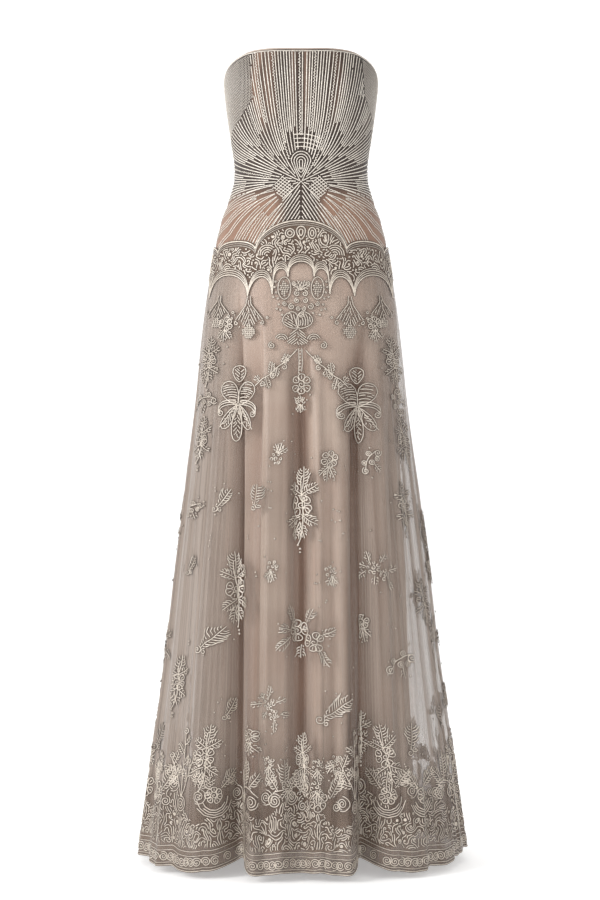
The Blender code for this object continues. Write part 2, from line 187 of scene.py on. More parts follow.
# Angle and height of the top edge.
TOP_EDGE = np.array(
    ((0.0, 0.2020), (36.0, 0.2015), (46.0, 0.1990), (54.0, 0.1935), (64.0, 0.1855), (77.0, 0.1720), (92.0, 0.1520),
     (115.0, 0.1440), (180.0, 0.1400))
)
HIP_SEAM, FOLD_TOP, HEM, SATIN_HEM = -0.160, -0.235, -1.189, -1.158
SLIDER_LOW = 0.125
# Angle at the hem, depth and half width of each large fold.
FOLDS = (
    (0.0, 0.026, 6.0), (14.0, 0.008, 2.8), (28.0, 0.058, 5.6), (38.0, 0.005, 3.0), (45.0, 0.004, 3.0),
    (52.0, 0.013, 4.6), (61.0, 0.003, 3.0), (70.0, 0.011, 4.4), (80.0, 0.003, 3.2),
)
# Each column of the skirt by its angle at the hem and at the hips, and the height of the hem there.
HANG_POINTS = np.array(((0.0, 0.0), (28.0, 43.0), (52.0, 68.0), (70.0, 82.0), (90.0, 90.0)))
HEM_LEVELS = np.array(((0.0, HEM), (42.0, -1.193), (90.0, -1.181)))
# Arches of the yoke's edges: start, end, height of the feet and rise.
UPPER_ARCHES = ((-38.0, 38.0, -0.139, 0.049), (38.0, 72.0, -0.141, 0.017), (72.0, 108.0, -0.143, 0.014))
SMALL_ARCHES = ((-10.5, 10.5, -0.183, 0.020), (10.5, 22.5, -0.196, 0.021), (22.5, 41.0, -0.229, 0.040))
LOWER_ARCHES = ((-41.0, 41.0, -0.229, 0.073), (41.0, 75.0, -0.226, 0.042), (75.0, 105.0, -0.222, 0.036))


# %% The form as functions
def smooth_curve(x, xs, ys):
    """A cubic through the points (xs, ys), with no corner at any of them. xs must rise."""
    slopes = np.gradient(ys, xs)
    i = np.clip(np.searchsorted(xs, x) - 1, 0, len(xs) - 2)
    step = xs[i + 1] - xs[i]
    s = np.clip((x - xs[i]) / step, 0.0, 1.0)
    rise = ys[i] * (1 + 2 * s) * (1 - s) ** 2 + ys[i + 1] * s**2 * (3 - 2 * s)
    return rise + (slopes[i] * s * (1 - s) ** 2 - slopes[i + 1] * s**2 * (1 - s)) * step


def compass(turn):
    """Unit vectors on paper, turned clockwise from straight up: (sin a, cos a)."""
    return np.stack([np.sin(turn), np.cos(turn)], axis=-1)


def turn_from(angle, centre=0.0):
    return (angle - centre + 180.0) % 360.0 - 180.0


def from_front(angle):
    """An angle folded onto one quarter: 0 at centre front and back, 90 at either side seam."""
    turn = np.abs(turn_from(angle))
    return np.where(turn > 90.0, 180.0 - turn, turn)


def body_radius(angle, height):
    """The superellipse of each level, (|sin/w|^n + |cos/d|^n)^(-1/n), with two soft cups."""
    table = np.array(SECTIONS[::-1])
    wide, front, back, power = (smooth_curve(height, table[:, 0], table[:, k]) for k in (1, 2, 3, 4))
    turn = np.radians(angle)
    depth = np.where(np.cos(turn) > 0, front, back)
    radius = (np.abs(np.sin(turn) / wide) ** power + np.abs(np.cos(turn) / depth) ** power) ** (-1 / power)
    cup = np.exp(-(((np.abs(turn_from(angle)) - 34.0) / 20.0) ** 2) - ((height - 0.140) / 0.050) ** 2)
    return radius + 0.011 * cup


def at(angle, radius, height):
    turn = np.radians(angle)
    return np.stack(np.broadcast_arrays(radius * np.sin(turn), -radius * np.cos(turn), height), axis=-1)


def fall(height):
    """0 where the folds start under the hips, and 1 at the hem."""
    return np.clip((FOLD_TOP - height) / (FOLD_TOP - HEM), 0.0, 1.2)


def hang_angle(column, height):
    """Where a column of the skirt is at a height: folds hang straighter than the skirt flares."""
    quarter = from_front(column)
    at_hip = np.interp(quarter, HANG_POINTS[:, 0], HANG_POINTS[:, 1])
    moved = at_hip + (quarter - at_hip) * np.clip(fall(height), 0.0, 1.0) ** 0.7
    turn = turn_from(column)
    return np.sign(turn) * np.where(np.abs(turn) <= 90.0, moved, 180.0 - moved)


def fold_depth(column, height):
    """The large folds: a sum of soft troughs that deepen towards the hem."""
    quarter = from_front(column)
    troughs = sum(depth * np.exp(-(((quarter - hem) / wide) ** 2)) for hem, depth, wide in FOLDS)
    return troughs * fall(height) ** 1.1


def arches(table, angle):
    """Height of an edge made of arches, each given by its ends, its feet and its rise."""
    quarter = from_front(angle)
    edge = np.zeros(np.shape(quarter))
    for start, end, foot, rise in table:
        s = (2 * quarter - start - end) / (end - start)
        arch = foot + rise * np.sqrt(np.clip(1 - np.abs(s) ** 2.2, 0.0, 1.0))
        edge = np.where((quarter >= start) & (quarter <= end), arch, edge)
    return edge


def top_edge(angle):
    return smooth_curve(np.abs(turn_from(angle)), TOP_EDGE[:, 0], TOP_EDGE[:, 1])


def hem_edge(column):
    """The hem: highest where the deepest folds turn in, and softly scalloped."""
    quarter = from_front(column)
    level = smooth_curve(quarter, HEM_LEVELS[:, 0], HEM_LEVELS[:, 1])
    lift = 0.021 * np.exp(-(((quarter - 28.0) / 5.0) ** 2))
    return level + lift + 0.004 * (1 - np.abs(np.cos(np.radians(column) * 12)))


print("hem at", HEM, "m, top edge at", TOP_EDGE[0, 1], "m")

# %% [markdown]
# ## Creases
# Net and satin never fall into the big folds alone. Between them lie softer creases, each with its own
# place, depth, width and length. They are placed from the photograph in front, and in the same
# uneven way round the sides and back. A minus depth is a ridge.

# %% Crease tables
# Column, depth, half width, top and foot of each crease.
NET_CREASES = (
    (-86.0, 0.006, 1.6, -0.30, -1.30), (-75.0, -0.005, 1.5, -0.26, -1.30), (-66.0, 0.006, 1.4, -0.40, -1.30),
    (-57.0, -0.006, 1.6, -0.35, -1.30), (-47.5, 0.005, 1.5, -0.27, -1.10), (-39.0, -0.005, 1.8, -0.30, -1.30),
    (-30.5, 0.006, 1.4, -0.50, -1.30), (-17.5, -0.006, 2.0, -0.27, -1.30), (-7.5, -0.006, 1.8, -0.35, -1.30),
    (-3.0, 0.007, 1.5, -0.30, -1.00), (5.0, -0.005, 1.7, -0.40, -1.30), (9.5, 0.005, 1.3, -0.60, -1.30),
    (18.0, -0.006, 1.8, -0.27, -1.30), (28.5, 0.006, 1.5, -0.30, -0.95), (33.0, -0.006, 1.6, -0.35, -1.30),
    (40.0, 0.005, 1.6, -0.45, -1.30), (48.0, -0.006, 1.6, -0.28, -1.30), (56.5, 0.005, 1.5, -0.35, -1.30),
    (65.5, -0.005, 1.6, -0.30, -1.20), (75.5, 0.006, 1.5, -0.40, -1.30), (85.0, -0.006, 1.8, -0.30, -1.30),
    (97.0, 0.007, 2.0, -0.28, -1.30), (108.0, -0.006, 1.8, -0.35, -1.30), (118.0, 0.007, 1.7, -0.30, -1.10),
    (131.0, -0.007, 2.0, -0.28, -1.30), (143.0, 0.006, 1.8, -0.40, -1.30), (152.0, 0.005, 1.6, -0.30, -1.30),
    (163.0, -0.007, 2.2, -0.28, -1.30), (173.0, 0.006, 1.6, -0.45, -1.30), (-171.0, -0.006, 1.8, -0.30, -1.30),
    (-160.0, 0.006, 1.6, -0.35, -1.15), (-149.0, -0.005, 1.8, -0.28, -1.30), (-137.0, 0.007, 1.9, -0.40, -1.30),
    (-125.0, -0.006, 1.7, -0.30, -1.30), (-113.0, 0.006, 1.8, -0.30, -1.30),
    (-101.0, -0.006, 2.0, -0.35, -1.30),
)
SATIN_CREASES = (
    (-80.0, 0.006, 3.0, -0.35, -1.30), (-62.0, -0.007, 3.5, -0.30, -1.30), (-48.0, 0.007, 2.8, -0.28, -1.30),
    (-34.0, 0.006, 2.2, -0.25, -1.30), (-15.6, -0.007, 1.9, -0.28, -1.30), (-9.5, 0.006, 2.4, -0.30, -1.30),
    (-4.5, 0.008, 1.6, -0.27, -1.30), (3.0, 0.006, 1.5, -0.45, -1.30), (8.5, -0.006, 1.8, -0.25, -1.30),
    (15.5, 0.007, 1.7, -0.35, -1.30), (31.0, 0.006, 2.4, -0.28, -1.30), (45.0, -0.007, 3.0, -0.30, -1.30),
    (60.0, 0.007, 2.8, -0.30, -1.30), (79.0, -0.006, 3.5, -0.35, -1.30), (101.0, 0.007, 3.2, -0.30, -1.30),
    (122.0, -0.007, 3.0, -0.28, -1.30), (139.0, 0.006, 2.8, -0.35, -1.30), (158.0, -0.006, 2.4, -0.28, -1.30),
    (171.0, 0.007, 2.0, -0.30, -1.30), (-168.0, 0.006, 2.2, -0.40, -1.30), (-150.0, -0.007, 2.8, -0.28, -1.30),
    (-129.0, 0.007, 3.0, -0.32, -1.30), (-108.0, -0.006, 3.2, -0.30, -1.30),
)


def creases(table, column, height):
    """A sum of soft troughs and ridges, each fading in under its top and out above its foot."""
    total = 0.0
    for centre, depth, wide, top, foot in table:
        shape = np.exp(-((turn_from(column, centre) / wide) ** 2))
        fade_in = np.clip((top - height) / 0.25, 0.0, 1.0)
        fade_out = np.clip((height - foot) / 0.10, 0.0, 1.0)
        total = total + depth * shape * fade_in**1.5 * fade_out
    return total


def net_face(column, height):
    """Outer face of the net overskirt: the form, 1.9 mm out, less its folds and creases."""
    angle = hang_angle(column, height)
    radius = body_radius(angle, height) + 0.0019 - fold_depth(column, height)
    return at(angle, radius - creases(NET_CREASES, column, height), height)


# Column, depth, width to the left and to the right, and top of each groove.
SATIN_GROOVES = (
    (-62.0, 0.014, 6.0, 2.4, -0.26), (-44.0, 0.010, 5.0, 2.0, -0.30), (-34.0, 0.042, 5.6, 2.2, -0.22),
    (-21.0, 0.020, 5.4, 1.2, -0.24), (1.6, 0.038, 8.6, 2.4, -0.24), (12.5, 0.004, 3.0, 1.6, -0.30),
    (36.2, 0.042, 8.0, 2.2, -0.22), (40.0, 0.012, 4.6, 2.0, -0.26), (60.0, 0.014, 5.6, 2.2, -0.28),
    (84.0, 0.012, 5.0, 2.4, -0.26), (112.0, 0.016, 5.6, 2.4, -0.24), (134.0, 0.022, 5.0, 2.2, -0.22),
    (151.0, 0.012, 4.4, 1.8, -0.28), (166.0, 0.018, 4.6, 2.0, -0.24), (-174.0, 0.020, 4.4, 2.2, -0.22),
    (-155.0, 0.026, 5.0, 2.0, -0.24), (-138.0, 0.012, 4.6, 1.8, -0.28), (-118.0, 0.020, 5.4, 2.4, -0.24),
    (-90.0, 0.012, 5.6, 2.2, -0.28),
)


def grooves(column, height):
    """The satin's main creases. Each has a slow slope on one side and a steep one on the other, and is deepest
    at the thighs, where the net holds the satin in."""
    total = 0.0
    for centre, depth, left, right, top in SATIN_GROOVES:
        away = turn_from(column, centre)
        shape = np.exp(-((away / np.where(away < 0, left, right)) ** 2))
        grown = np.clip((top - height) / 0.20, 0.0, 1.0) ** 1.2
        total = total + depth * shape * grown
    return total * (1 - 0.55 * np.clip(fall(height), 0.0, 1.0))


def satin_face(column, height):
    """The satin underskirt hangs straighter, inside the net."""
    angle = hang_angle(column, height)
    inset = 0.032 + 0.054 * np.sin(np.radians(angle)) ** 2
    radius = body_radius(angle, height) - inset * fall(height) ** 1.15 - 0.75 * fold_depth(column, height)
    return at(angle, radius - creases(SATIN_CREASES, column, height) - grooves(column, height), height)


def bodice_face(column, height):
    return at(column, body_radius(column, height), height)


def normals(face, column, height):
    """Outward unit normals: the cross product of the slopes down and across the cloth."""
    across = face(column + 0.05, height) - face(column - 0.05, height)
    down = face(column, height - 0.0005) - face(column, height + 0.0005)
    normal = np.cross(down, across)
    return normal / np.linalg.norm(normal, axis=-1, keepdims=True)


print(len(NET_CREASES), "net creases and", len(SATIN_CREASES), "satin creases")


# %% [markdown]
# ## Cloth panels
# Every panel is cut as a maker would cut it: a front, and two backs that meet at the centre-back zip.
# A panel is a grid of points on its face. Satin and bodice get a thin second layer inside, closed at the
# rim. Net is one layer, because light has to pass through it once only.


# %% Panel helpers
def piece(name, mesh, finish, slot_name, *replaced):
    """An object on the gown, with its finish, that stands for the CAD nodes it replaces."""
    made = add_object(name, mesh)
    mesh.materials.append(finish)
    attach(made, BODY)
    if replaced:
        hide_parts(*replaced)
    return made


def add_values(mesh, name, values):
    mesh.attributes.new(name, "FLOAT", "POINT").data.foreach_set("value", values.astype(np.float32).ravel())


def grid_mesh(name, outer, inner=None):
    """A sheet from a grid of points, rows by columns by xyz. With an inner grid it is a closed wall."""
    rows, count = outer.shape[:2]
    index = np.arange(rows * count).reshape(rows, count)
    front = np.stack([index[:-1, :-1], index[1:, :-1], index[1:, 1:], index[:-1, 1:]], axis=-1).reshape(-1, 4)
    points, faces = outer.reshape(-1, 3), front
    if inner is not None:
        rim = np.concatenate([index[0, ::-1], index[1:, 0], index[-1, 1:], index[-2:0:-1, -1]])
        after = np.roll(rim, -1)
        edge = np.stack([after, rim, rim + rows * count, after + rows * count], axis=1)
        points = np.concatenate([points, inner.reshape(-1, 3)])
        faces = np.concatenate([front, front[:, ::-1] + rows * count, edge])
    return solid_mesh(name, points, faces)


PANELS = (("front", -90.0, 90.0), ("back_right", 90.0, 180.0), ("back_left", -180.0, -90.0))


def panel_grid(face, start, end, count, rows, upper, lower, out=0.0):
    """Points of a panel between two edges, each given as a height for every column."""
    column = np.linspace(start, end, count)
    s = np.linspace(0.0, 1.0, rows)[:, None]
    height = upper(column) * (1 - s) + lower(column) * s
    column = np.broadcast_to(column, height.shape)
    points = face(column, height)
    return points + normals(face, column, height) * out, column, height


def level(z):
    return lambda column: np.full(np.shape(column), z)


# %% [markdown]
# ## Finishes
# Cloth colour comes from fine things that repeat: threads, mesh holes and a slow unevenness in the weave. The satin
# also has painted shade in its grooves, and the ground under the beads painted shadow between them.
# The hexagon mesh of net is one node group, used by every sheer layer. It adds three sets of waves at
# 120 degrees, and threads lie where the sum is low.


# %% Shader groups
def group(name, inputs, outputs):
    """An empty node group with named inputs and outputs."""
    made = bpy.data.node_groups.new(name, "ShaderNodeTree")
    for label, kind, value in inputs:
        socket = made.interface.new_socket(label, in_out="INPUT", socket_type=kind)
        if value is not None:
            socket.default_value = value
    for label, kind in outputs:
        made.interface.new_socket(label, in_out="OUTPUT", socket_type=kind)
    return made, made.nodes.new("NodeGroupInput"), made.nodes.new("NodeGroupOutput")


def maths(tree, operation, *values):
    """A Math node; a number or a socket goes in each input."""
    node = fill(tree, tree.nodes.new("ShaderNodeMath"), dict(enumerate(values)))
    node.operation = operation
    return node.outputs[0]


def turns_of(tree, value, count):
    """An angle that goes round `count` times in a metre."""
    return maths(tree, "MULTIPLY", maths(tree, "MULTIPLY", value, count), 2 * np.pi)


def noise(tree, vector, scale, detail):
    return add_node(tree, "TexNoise", Vector=vector, Scale=scale, Detail=detail).outputs["Fac"]


def make_mesh_group():
    """Honeycomb threads: they lie where cos a + cos b + cos c is low, at three directions."""
    tree, given, result = group(
        "hexagon_net",
        (("Vector", "NodeSocketVector", None), ("Cells", "NodeSocketFloat", 700.0)),
        (("Threads", "NodeSocketFloat"),),
    )
    x, y, _ = add_node(tree, "SeparateXYZ", Vector=given.outputs["Vector"]).outputs
    total = None
    for direction in np.radians((0.0, 120.0, 240.0)):
        east = maths(tree, "MULTIPLY", x, float(np.cos(direction)))
        north = maths(tree, "MULTIPLY", y, float(np.sin(direction)))
        wave = maths(tree, "COSINE", turns_of(tree, maths(tree, "ADD", east, north), given.outputs["Cells"]))
        total = wave if total is None else maths(tree, "ADD", total, wave)
    tree.links.new(ramp(tree, total, -0.35, -0.85), result.inputs["Threads"])
    return tree


def make_weave_group():
    """A satin weave: fine cross threads under a slow unevenness."""
    tree, given, result = group(
        "cloth_weave",
        (("Vector", "NodeSocketVector", None), ("Threads", "NodeSocketFloat", 900.0)),
        (("Height", "NodeSocketFloat"), ("Shade", "NodeSocketFloat")),
    )
    x, y, _ = add_node(tree, "SeparateXYZ", Vector=given.outputs["Vector"]).outputs
    fine = [maths(tree, "SINE", turns_of(tree, axis, given.outputs["Threads"])) for axis in (x, y)]
    shade = noise(tree, given.outputs["Vector"], 9.0, 3.0)
    fill(tree, result, {"Height": maths(tree, "ADD", *fine), "Shade": shade})
    return tree


HEXAGONS, WEAVE = make_mesh_group(), make_weave_group()


def use_group(tree, made, vector, **values):
    node = tree.nodes.new("ShaderNodeGroup")
    node.node_tree = made
    return fill(tree, node, {"Vector": vector, **values}).outputs


def attribute(tree, name):
    node = tree.nodes.new("ShaderNodeAttribute")
    node.attribute_name = name
    return node.outputs["Fac"]


def surface_map(tree):
    """The piece's own UV map, in metres along and up the cloth."""
    node = tree.nodes.new("ShaderNodeUVMap")
    node.uv_map = "cloth"
    return node.outputs[0]


def object_map(tree):
    return tree.nodes.new("ShaderNodeTexCoord").outputs["Object"]


def blend_colours(tree, factor, first, second):
    node = tree.nodes.new("ShaderNodeMix")
    node.data_type = "RGBA"
    return fill(tree, node, {0: factor, 6: first, 7: second}).outputs[2]


def bump(tree, height, distance, strength=1.0):
    return add_node(tree, "Bump", Height=height, Distance=distance, Strength=strength).outputs[0]


# %% Satin, net and the nude ground
def make_satin():
    made, tree, shader = principled(
        "satin", srgb(176, 157, 145), 0.36, Sheen_Weight=0.25, Sheen_Roughness=0.4, Specular_IOR_Level=0.35
    )
    weave = use_group(tree, WEAVE, surface_map(tree), Threads=2200.0)
    open_cloth = blend_colours(tree, ramp(tree, weave["Shade"], 0.35, 0.65), srgb(171, 149, 135), srgb(181, 162, 148))
    # Painted shade in the creases: the satin turns deep brown where the groove attribute is high, in its grooves and
    # folds.
    painted_groove_shade = ramp(tree, attribute(tree, "groove"), 0.1, 1.0, 0.0, 0.95)
    colour = blend_colours(tree, painted_groove_shade, open_cloth, srgb(120, 88, 70))
    shine = ramp(tree, weave["Shade"], 0.3, 0.7, 0.32, 0.44)
    fill(tree, shader, {"Base Color": colour, "Normal": bump(tree, weave["Height"], 0.00004, 0.25), "Roughness": shine})
    return made


def make_net(name, thread, thin, thick):
    """Sheer net: hexagon threads, closer together where the net is gathered or turns away."""
    made, tree, shader = principled(name, thread, 0.75, Sheen_Weight=0.4, Specular_IOR_Level=0.2)
    threads = use_group(tree, HEXAGONS, surface_map(tree), Cells=620.0)["Threads"]
    gathered = attribute(tree, "gather")
    cover = ramp(tree, gathered, 0.0, 1.0, thin, thick)
    stretched = add_node(tree, "Mapping", Vector=surface_map(tree), Scale=(420.0, 2.2, 1.0)).outputs["Vector"]
    lines = ramp(tree, noise(tree, stretched, 1.0, 2.0), 0.32, 0.68, 0.74, 1.26)
    detail = maths(tree, "MULTIPLY", ramp(tree, threads, 0.0, 1.0, 0.85, 1.20), lines)
    alpha = maths(tree, "MINIMUM", maths(tree, "MULTIPLY", cover, detail), 1.0)
    colour = blend_colours(tree, gathered, tuple(min(1.0, 1.25 * c) for c in thread), thread)
    fill(tree, shader, {"Alpha": alpha, "Normal": bump(tree, threads, 0.0002, 0.5), "Base Color": colour})
    return made


def make_bodice_ground():
    """Fine nude net over a lining: dark brown where beads lie close, partly its own brown thread and partly painted
    shadow between the beads; peach at the hips, grey underarm.
    """
    made, tree, shader = principled("beaded_ground", srgb(120, 100, 88), 0.7, Sheen_Weight=0.2)
    where = surface_map(tree)
    threads = use_group(tree, HEXAGONS, where, Cells=800.0)["Threads"]
    shade = ramp(tree, use_group(tree, WEAVE, where, Threads=1500.0)["Shade"], 0.3, 0.7)
    nude = blend_colours(tree, shade, srgb(138, 104, 85), srgb(158, 125, 105))
    # Painted shadow between the bead rows, over the ground's own brown.
    brown_and_shadow = blend_colours(tree, shade, srgb(36, 25, 19), srgb(56, 42, 34))
    colour = blend_colours(tree, attribute(tree, "nude"), brown_and_shadow, nude)
    colour = blend_colours(tree, attribute(tree, "underarm"), colour, srgb(92, 81, 72))
    colour = blend_colours(tree, ramp(tree, threads, 0.0, 1.0, 0.0, 0.2), colour, srgb(96, 76, 64))
    inside = tree.nodes.new("ShaderNodeNewGeometry").outputs["Backfacing"]
    colour = blend_colours(tree, inside, colour, srgb(196, 172, 156))
    fill(tree, shader, {"Base Color": colour, "Normal": bump(tree, threads, 0.0002, 0.6)})
    return made


SATIN = make_satin()
NET = make_net("sheer_net", srgb(150, 137, 127), 0.12, 0.86)
GROUND = make_bodice_ground()


# %% Beads and cords
def make_cord(name, top, side, roughness, shine, grain, low):
    """Sewn beads and cords: their own colour on top, and painted shadow down their sides and where they meet the cloth.
    """
    made, tree, shader = principled(name, top, roughness, Coat_Weight=shine, Coat_Roughness=0.15)
    speck = ramp(tree, noise(tree, object_map(tree), grain, 1.0), 0.35, 0.65)
    light = blend_colours(tree, speck, tuple(0.72 * c for c in top), top)
    # tone darkens a whole line toward the same dark colour.
    toned = blend_colours(tree, attribute(tree, "tone"), light, side)
    # Painted shadow: where rim is low, at the foot of a cord, the colour turns to the dark side colour.
    rim = ramp(tree, attribute(tree, "rim"), low, low + 0.25)
    fill(tree, shader, {"Base Color": blend_colours(tree, rim, side, toned)})
    return made


# Each finish takes its top colour, then the dark colour of the painted shadow at the foot.
BEADS = make_cord("ivory_beads", srgb(250, 241, 228), srgb(60, 46, 38), 0.28, 0.5, 320.0, 0.30)
CORD = make_cord("lace_cord", srgb(234, 222, 206), srgb(72, 57, 48), 0.45, 0.15, 260.0, 0.44)
print("finishes:", [m.name for m in (SATIN, NET, GROUND, BEADS, CORD)])


# %% Cloth pieces
MAP_RADIUS = 0.16


def add_map(mesh, column, height, repeat=1):
    """A UV map in metres: distance round the middle of the gown, and height."""
    uv = np.stack([np.radians(column) * MAP_RADIUS, height], axis=-1).reshape(-1, 2)
    uv = np.concatenate([uv] * repeat)
    corner = np.zeros(len(mesh.loops), np.int32)
    mesh.loops.foreach_get("vertex_index", corner)
    layer = mesh.uv_layers.new(name="cloth")
    layer.data.foreach_set("uv", uv[corner].astype(np.float32).ravel())


def cloth(name, face, start, end, count, rows, upper, lower, wall, finish, slot_name, replaced, out=0.0, **marks):
    """One panel of cloth as a piece. wall is its thickness, or 0 for a single layer. Each mark gives the values
    of an attribute from the panel's columns and heights."""
    points, column, height = panel_grid(face, start, end, count, rows, upper, lower, out)
    inner = points - normals(face, column, height) * wall if wall else None
    layers = 2 if wall else 1
    mesh = grid_mesh(name, points, inner)
    add_map(mesh, column, height, layers)
    made = piece(name, mesh, finish, slot_name, replaced)
    for label, mark in marks.items():
        add_values(made.data, label, np.concatenate([mark(column, height).ravel()] * layers))


def nude_at(column, height):
    """Where bare nude ground shows: low at the sides, and in a few stripes where the beads are thinner."""
    side = from_front(column) / 90.0
    nude = np.clip((-0.028 - height) / 0.03, 0, 1) * np.clip((side - 0.16) / 0.14, 0, 1)
    for centre, wide, much in NUDE_STRIPES:
        stripe = np.exp(-((turn_from(column, centre) / wide) ** 2)) * np.clip((height - 0.055) / 0.06, 0, 1)
        nude = np.maximum(nude, much * stripe)
    return nude


def underarm_at(column, height):
    return np.clip((from_front(column) / 90.0 - 0.62) / 0.12, 0, 1) * np.clip((height - 0.045) / 0.05, 0, 1)


# How deep the satin lies in its grooves and folds, from 0 to 1: where the satin's finish paints shade.
def groove_shade_at(column, height):
    return np.clip((grooves(column, height) + 0.4 * fold_depth(column, height)) / 0.030, 0, 1)


def gather_at(column, height):
    """How closely the net's threads lie: where it turns away, at the sides, and along fine upright streaks."""
    radial = net_face(column, height)
    radial[..., 2] = 0.0
    radial /= np.linalg.norm(radial, axis=-1, keepdims=True)
    facing = np.abs((normals(net_face, column, height) * radial).sum(axis=-1))
    fine = np.interp(column.ravel(), np.linspace(-180, 180, 721), streaks).reshape(column.shape)
    sideways = np.clip((from_front(column) - 29.0) / 21.0, 0, 1) ** 1.2
    left = 1.0 - 0.42 * np.clip(column / 60.0, -0.1, 1.0)
    gather = 0.9 * (1 - facing) + 0.95 * sideways * left * (0.82 + 0.18 * fine) + 0.12 * fine**3
    for centre in NET_EDGES:
        edge = np.exp(-((turn_from(column, centre + 0.4 * fall(height)) / 0.42) ** 2))
        gather = gather + 0.30 * edge * (0.4 + 0.6 * fine)
    return np.clip(gather, 0, 1)


# Column, half width and strength of each nude stripe, and the columns where the net is folded over.
NUDE_STRIPES = (
    (-36.0, 4.0, 0.75), (-26.0, 5.0, 0.45), (-7.0, 2.5, 0.45), (4.5, 2.0, 0.5), (30.0, 4.0, 0.25), (158.0, 5.0, 0.5),
    (-148.0, 5.0, 0.4),
)
NET_EDGES = (-36.0, -27.2, -17.6, -15.2, 6.2, 8.6, 20.5, 34.5, 38.0, 44.0, -42.0)
ZIP_GAP = 1.3
streaks = np.convolve(draw.random(725), np.ones(5) / 5, "valid") * 0.6 + 0.4 * draw.random(721)
for ending, start, end in PANELS:
    wide = (end - start) / 180.0
    from_zip = (ZIP_GAP if ending == "back_left" else 0.0), (ZIP_GAP if ending == "back_right" else 0.0)
    cloth(
        f"bodice_{ending}_cloth", bodice_face, start + from_zip[0], end - from_zip[1], int(150 * wide) + 1, 60,
        top_edge, level(HIP_SEAM), 0.0012, GROUND, "beaded_net", "bodice_" + ending, nude=nude_at, underarm=underarm_at,
    )
    cloth(
        f"underskirt_{ending}_satin", satin_face, start, end, int(260 * wide) + 1, 56,
        level(HIP_SEAM - 0.0003), level(SATIN_HEM), 0.0008, SATIN, "satin", "underskirt_" + ending, groove=groove_shade_at,
    )
    cloth(
        f"overskirt_{ending}_net", net_face, start, end, int(400 * wide) + 1, 70,
        lambda c: arches(UPPER_ARCHES, hang_angle(c, FOLD_TOP)), hem_edge, 0.0, NET, "net", "overskirt_" + ending,
        gather=gather_at,
    )

# %% [markdown]
# ## Where a flat design lands on the gown
# Embroidery is drawn flat, in metres, as a beader draws it on paper. Distance across the paper becomes
# distance round the cloth, so a motif keeps its size in and out of the folds. Each line of the drawing
# then gets a small cross-section and becomes a raised cord or a string of beads.


# %% From paper to cloth
PER_DEGREE = 4


def unroll(face, high, low, rows=100):
    """Tables between columns and distance round the cloth, at each height. Distance is the running sum
    of the steps between neighbouring columns, from 0 at centre front."""
    column, height = np.linspace(-180.0, 180.0, 360 * PER_DEGREE + 1), np.linspace(high, low, rows)
    steps = np.linalg.norm(np.diff(face(column[None, :], height[:, None]), axis=1), axis=-1)
    run = np.concatenate([np.zeros((rows, 1)), np.cumsum(steps, axis=1)], axis=1)
    run -= run[:, 180 * PER_DEGREE][:, None]
    even = np.linspace(run.min(), run.max(), 2401)
    back = np.stack([np.interp(even, one, column) for one in run])
    return {"face": face, "height": height, "run": run, "even": even, "back": back}


def between(table, down, across):
    """A table's value between its entries: the mean of the four around it, weighted by nearness."""
    i = np.clip(np.floor(down).astype(int), 0, table.shape[0] - 2)
    j = np.clip(np.floor(across).astype(int), 0, table.shape[1] - 2)
    v, u = np.clip(down - i, 0.0, 1.0), np.clip(across - j, 0.0, 1.0)
    top = table[i, j] * (1 - u) + table[i, j + 1] * u
    return top * (1 - v) + (table[i + 1, j] * (1 - u) + table[i + 1, j + 1] * u) * v


def row_of(flat, height):
    heights = flat["height"]
    return (height - heights[0]) / (heights[-1] - heights[0]) * (len(heights) - 1)


def run_at(flat, column, height):
    """Distance round the cloth from centre front to a column, at a height."""
    return between(flat["run"], row_of(flat, height), (np.asarray(column) + 180.0) * PER_DEGREE)


def column_at(flat, column, across, height):
    """The column that lies `across` metres round the cloth from a column, at a height."""
    even = flat["even"]
    run = run_at(flat, column, height) + across
    return between(flat["back"], row_of(flat, height), (run - even[0]) / (even[1] - even[0]))


def evenly(line, step):
    """A line's points again, an even step apart, with the distance of each from its start."""
    run = np.concatenate([[0.0], np.cumsum(np.hypot(*np.diff(line, axis=0).T))])
    count = max(2, int(round(run[-1] / step)) + 1)
    along = np.linspace(0.0, run[-1], count)
    return np.stack([np.interp(along, run, line[:, 0]), np.interp(along, run, line[:, 1])], axis=-1), along


# Cross-sections, as (across, up, rim) in half widths of the cord. Rim is 1 where the cord shows its own colour and 0
# where it is painted in shadow.
ROOF = ((-2.0, 0.0, 0.0), (0.0, 1.1, 1.0), (2.0, 0.0, 0.0))
ROUND = ((-1.2, 0.0, 0.0), (-0.55, 0.95, 1.0), (0.55, 0.95, 1.0), (1.2, 0.0, 0.0))


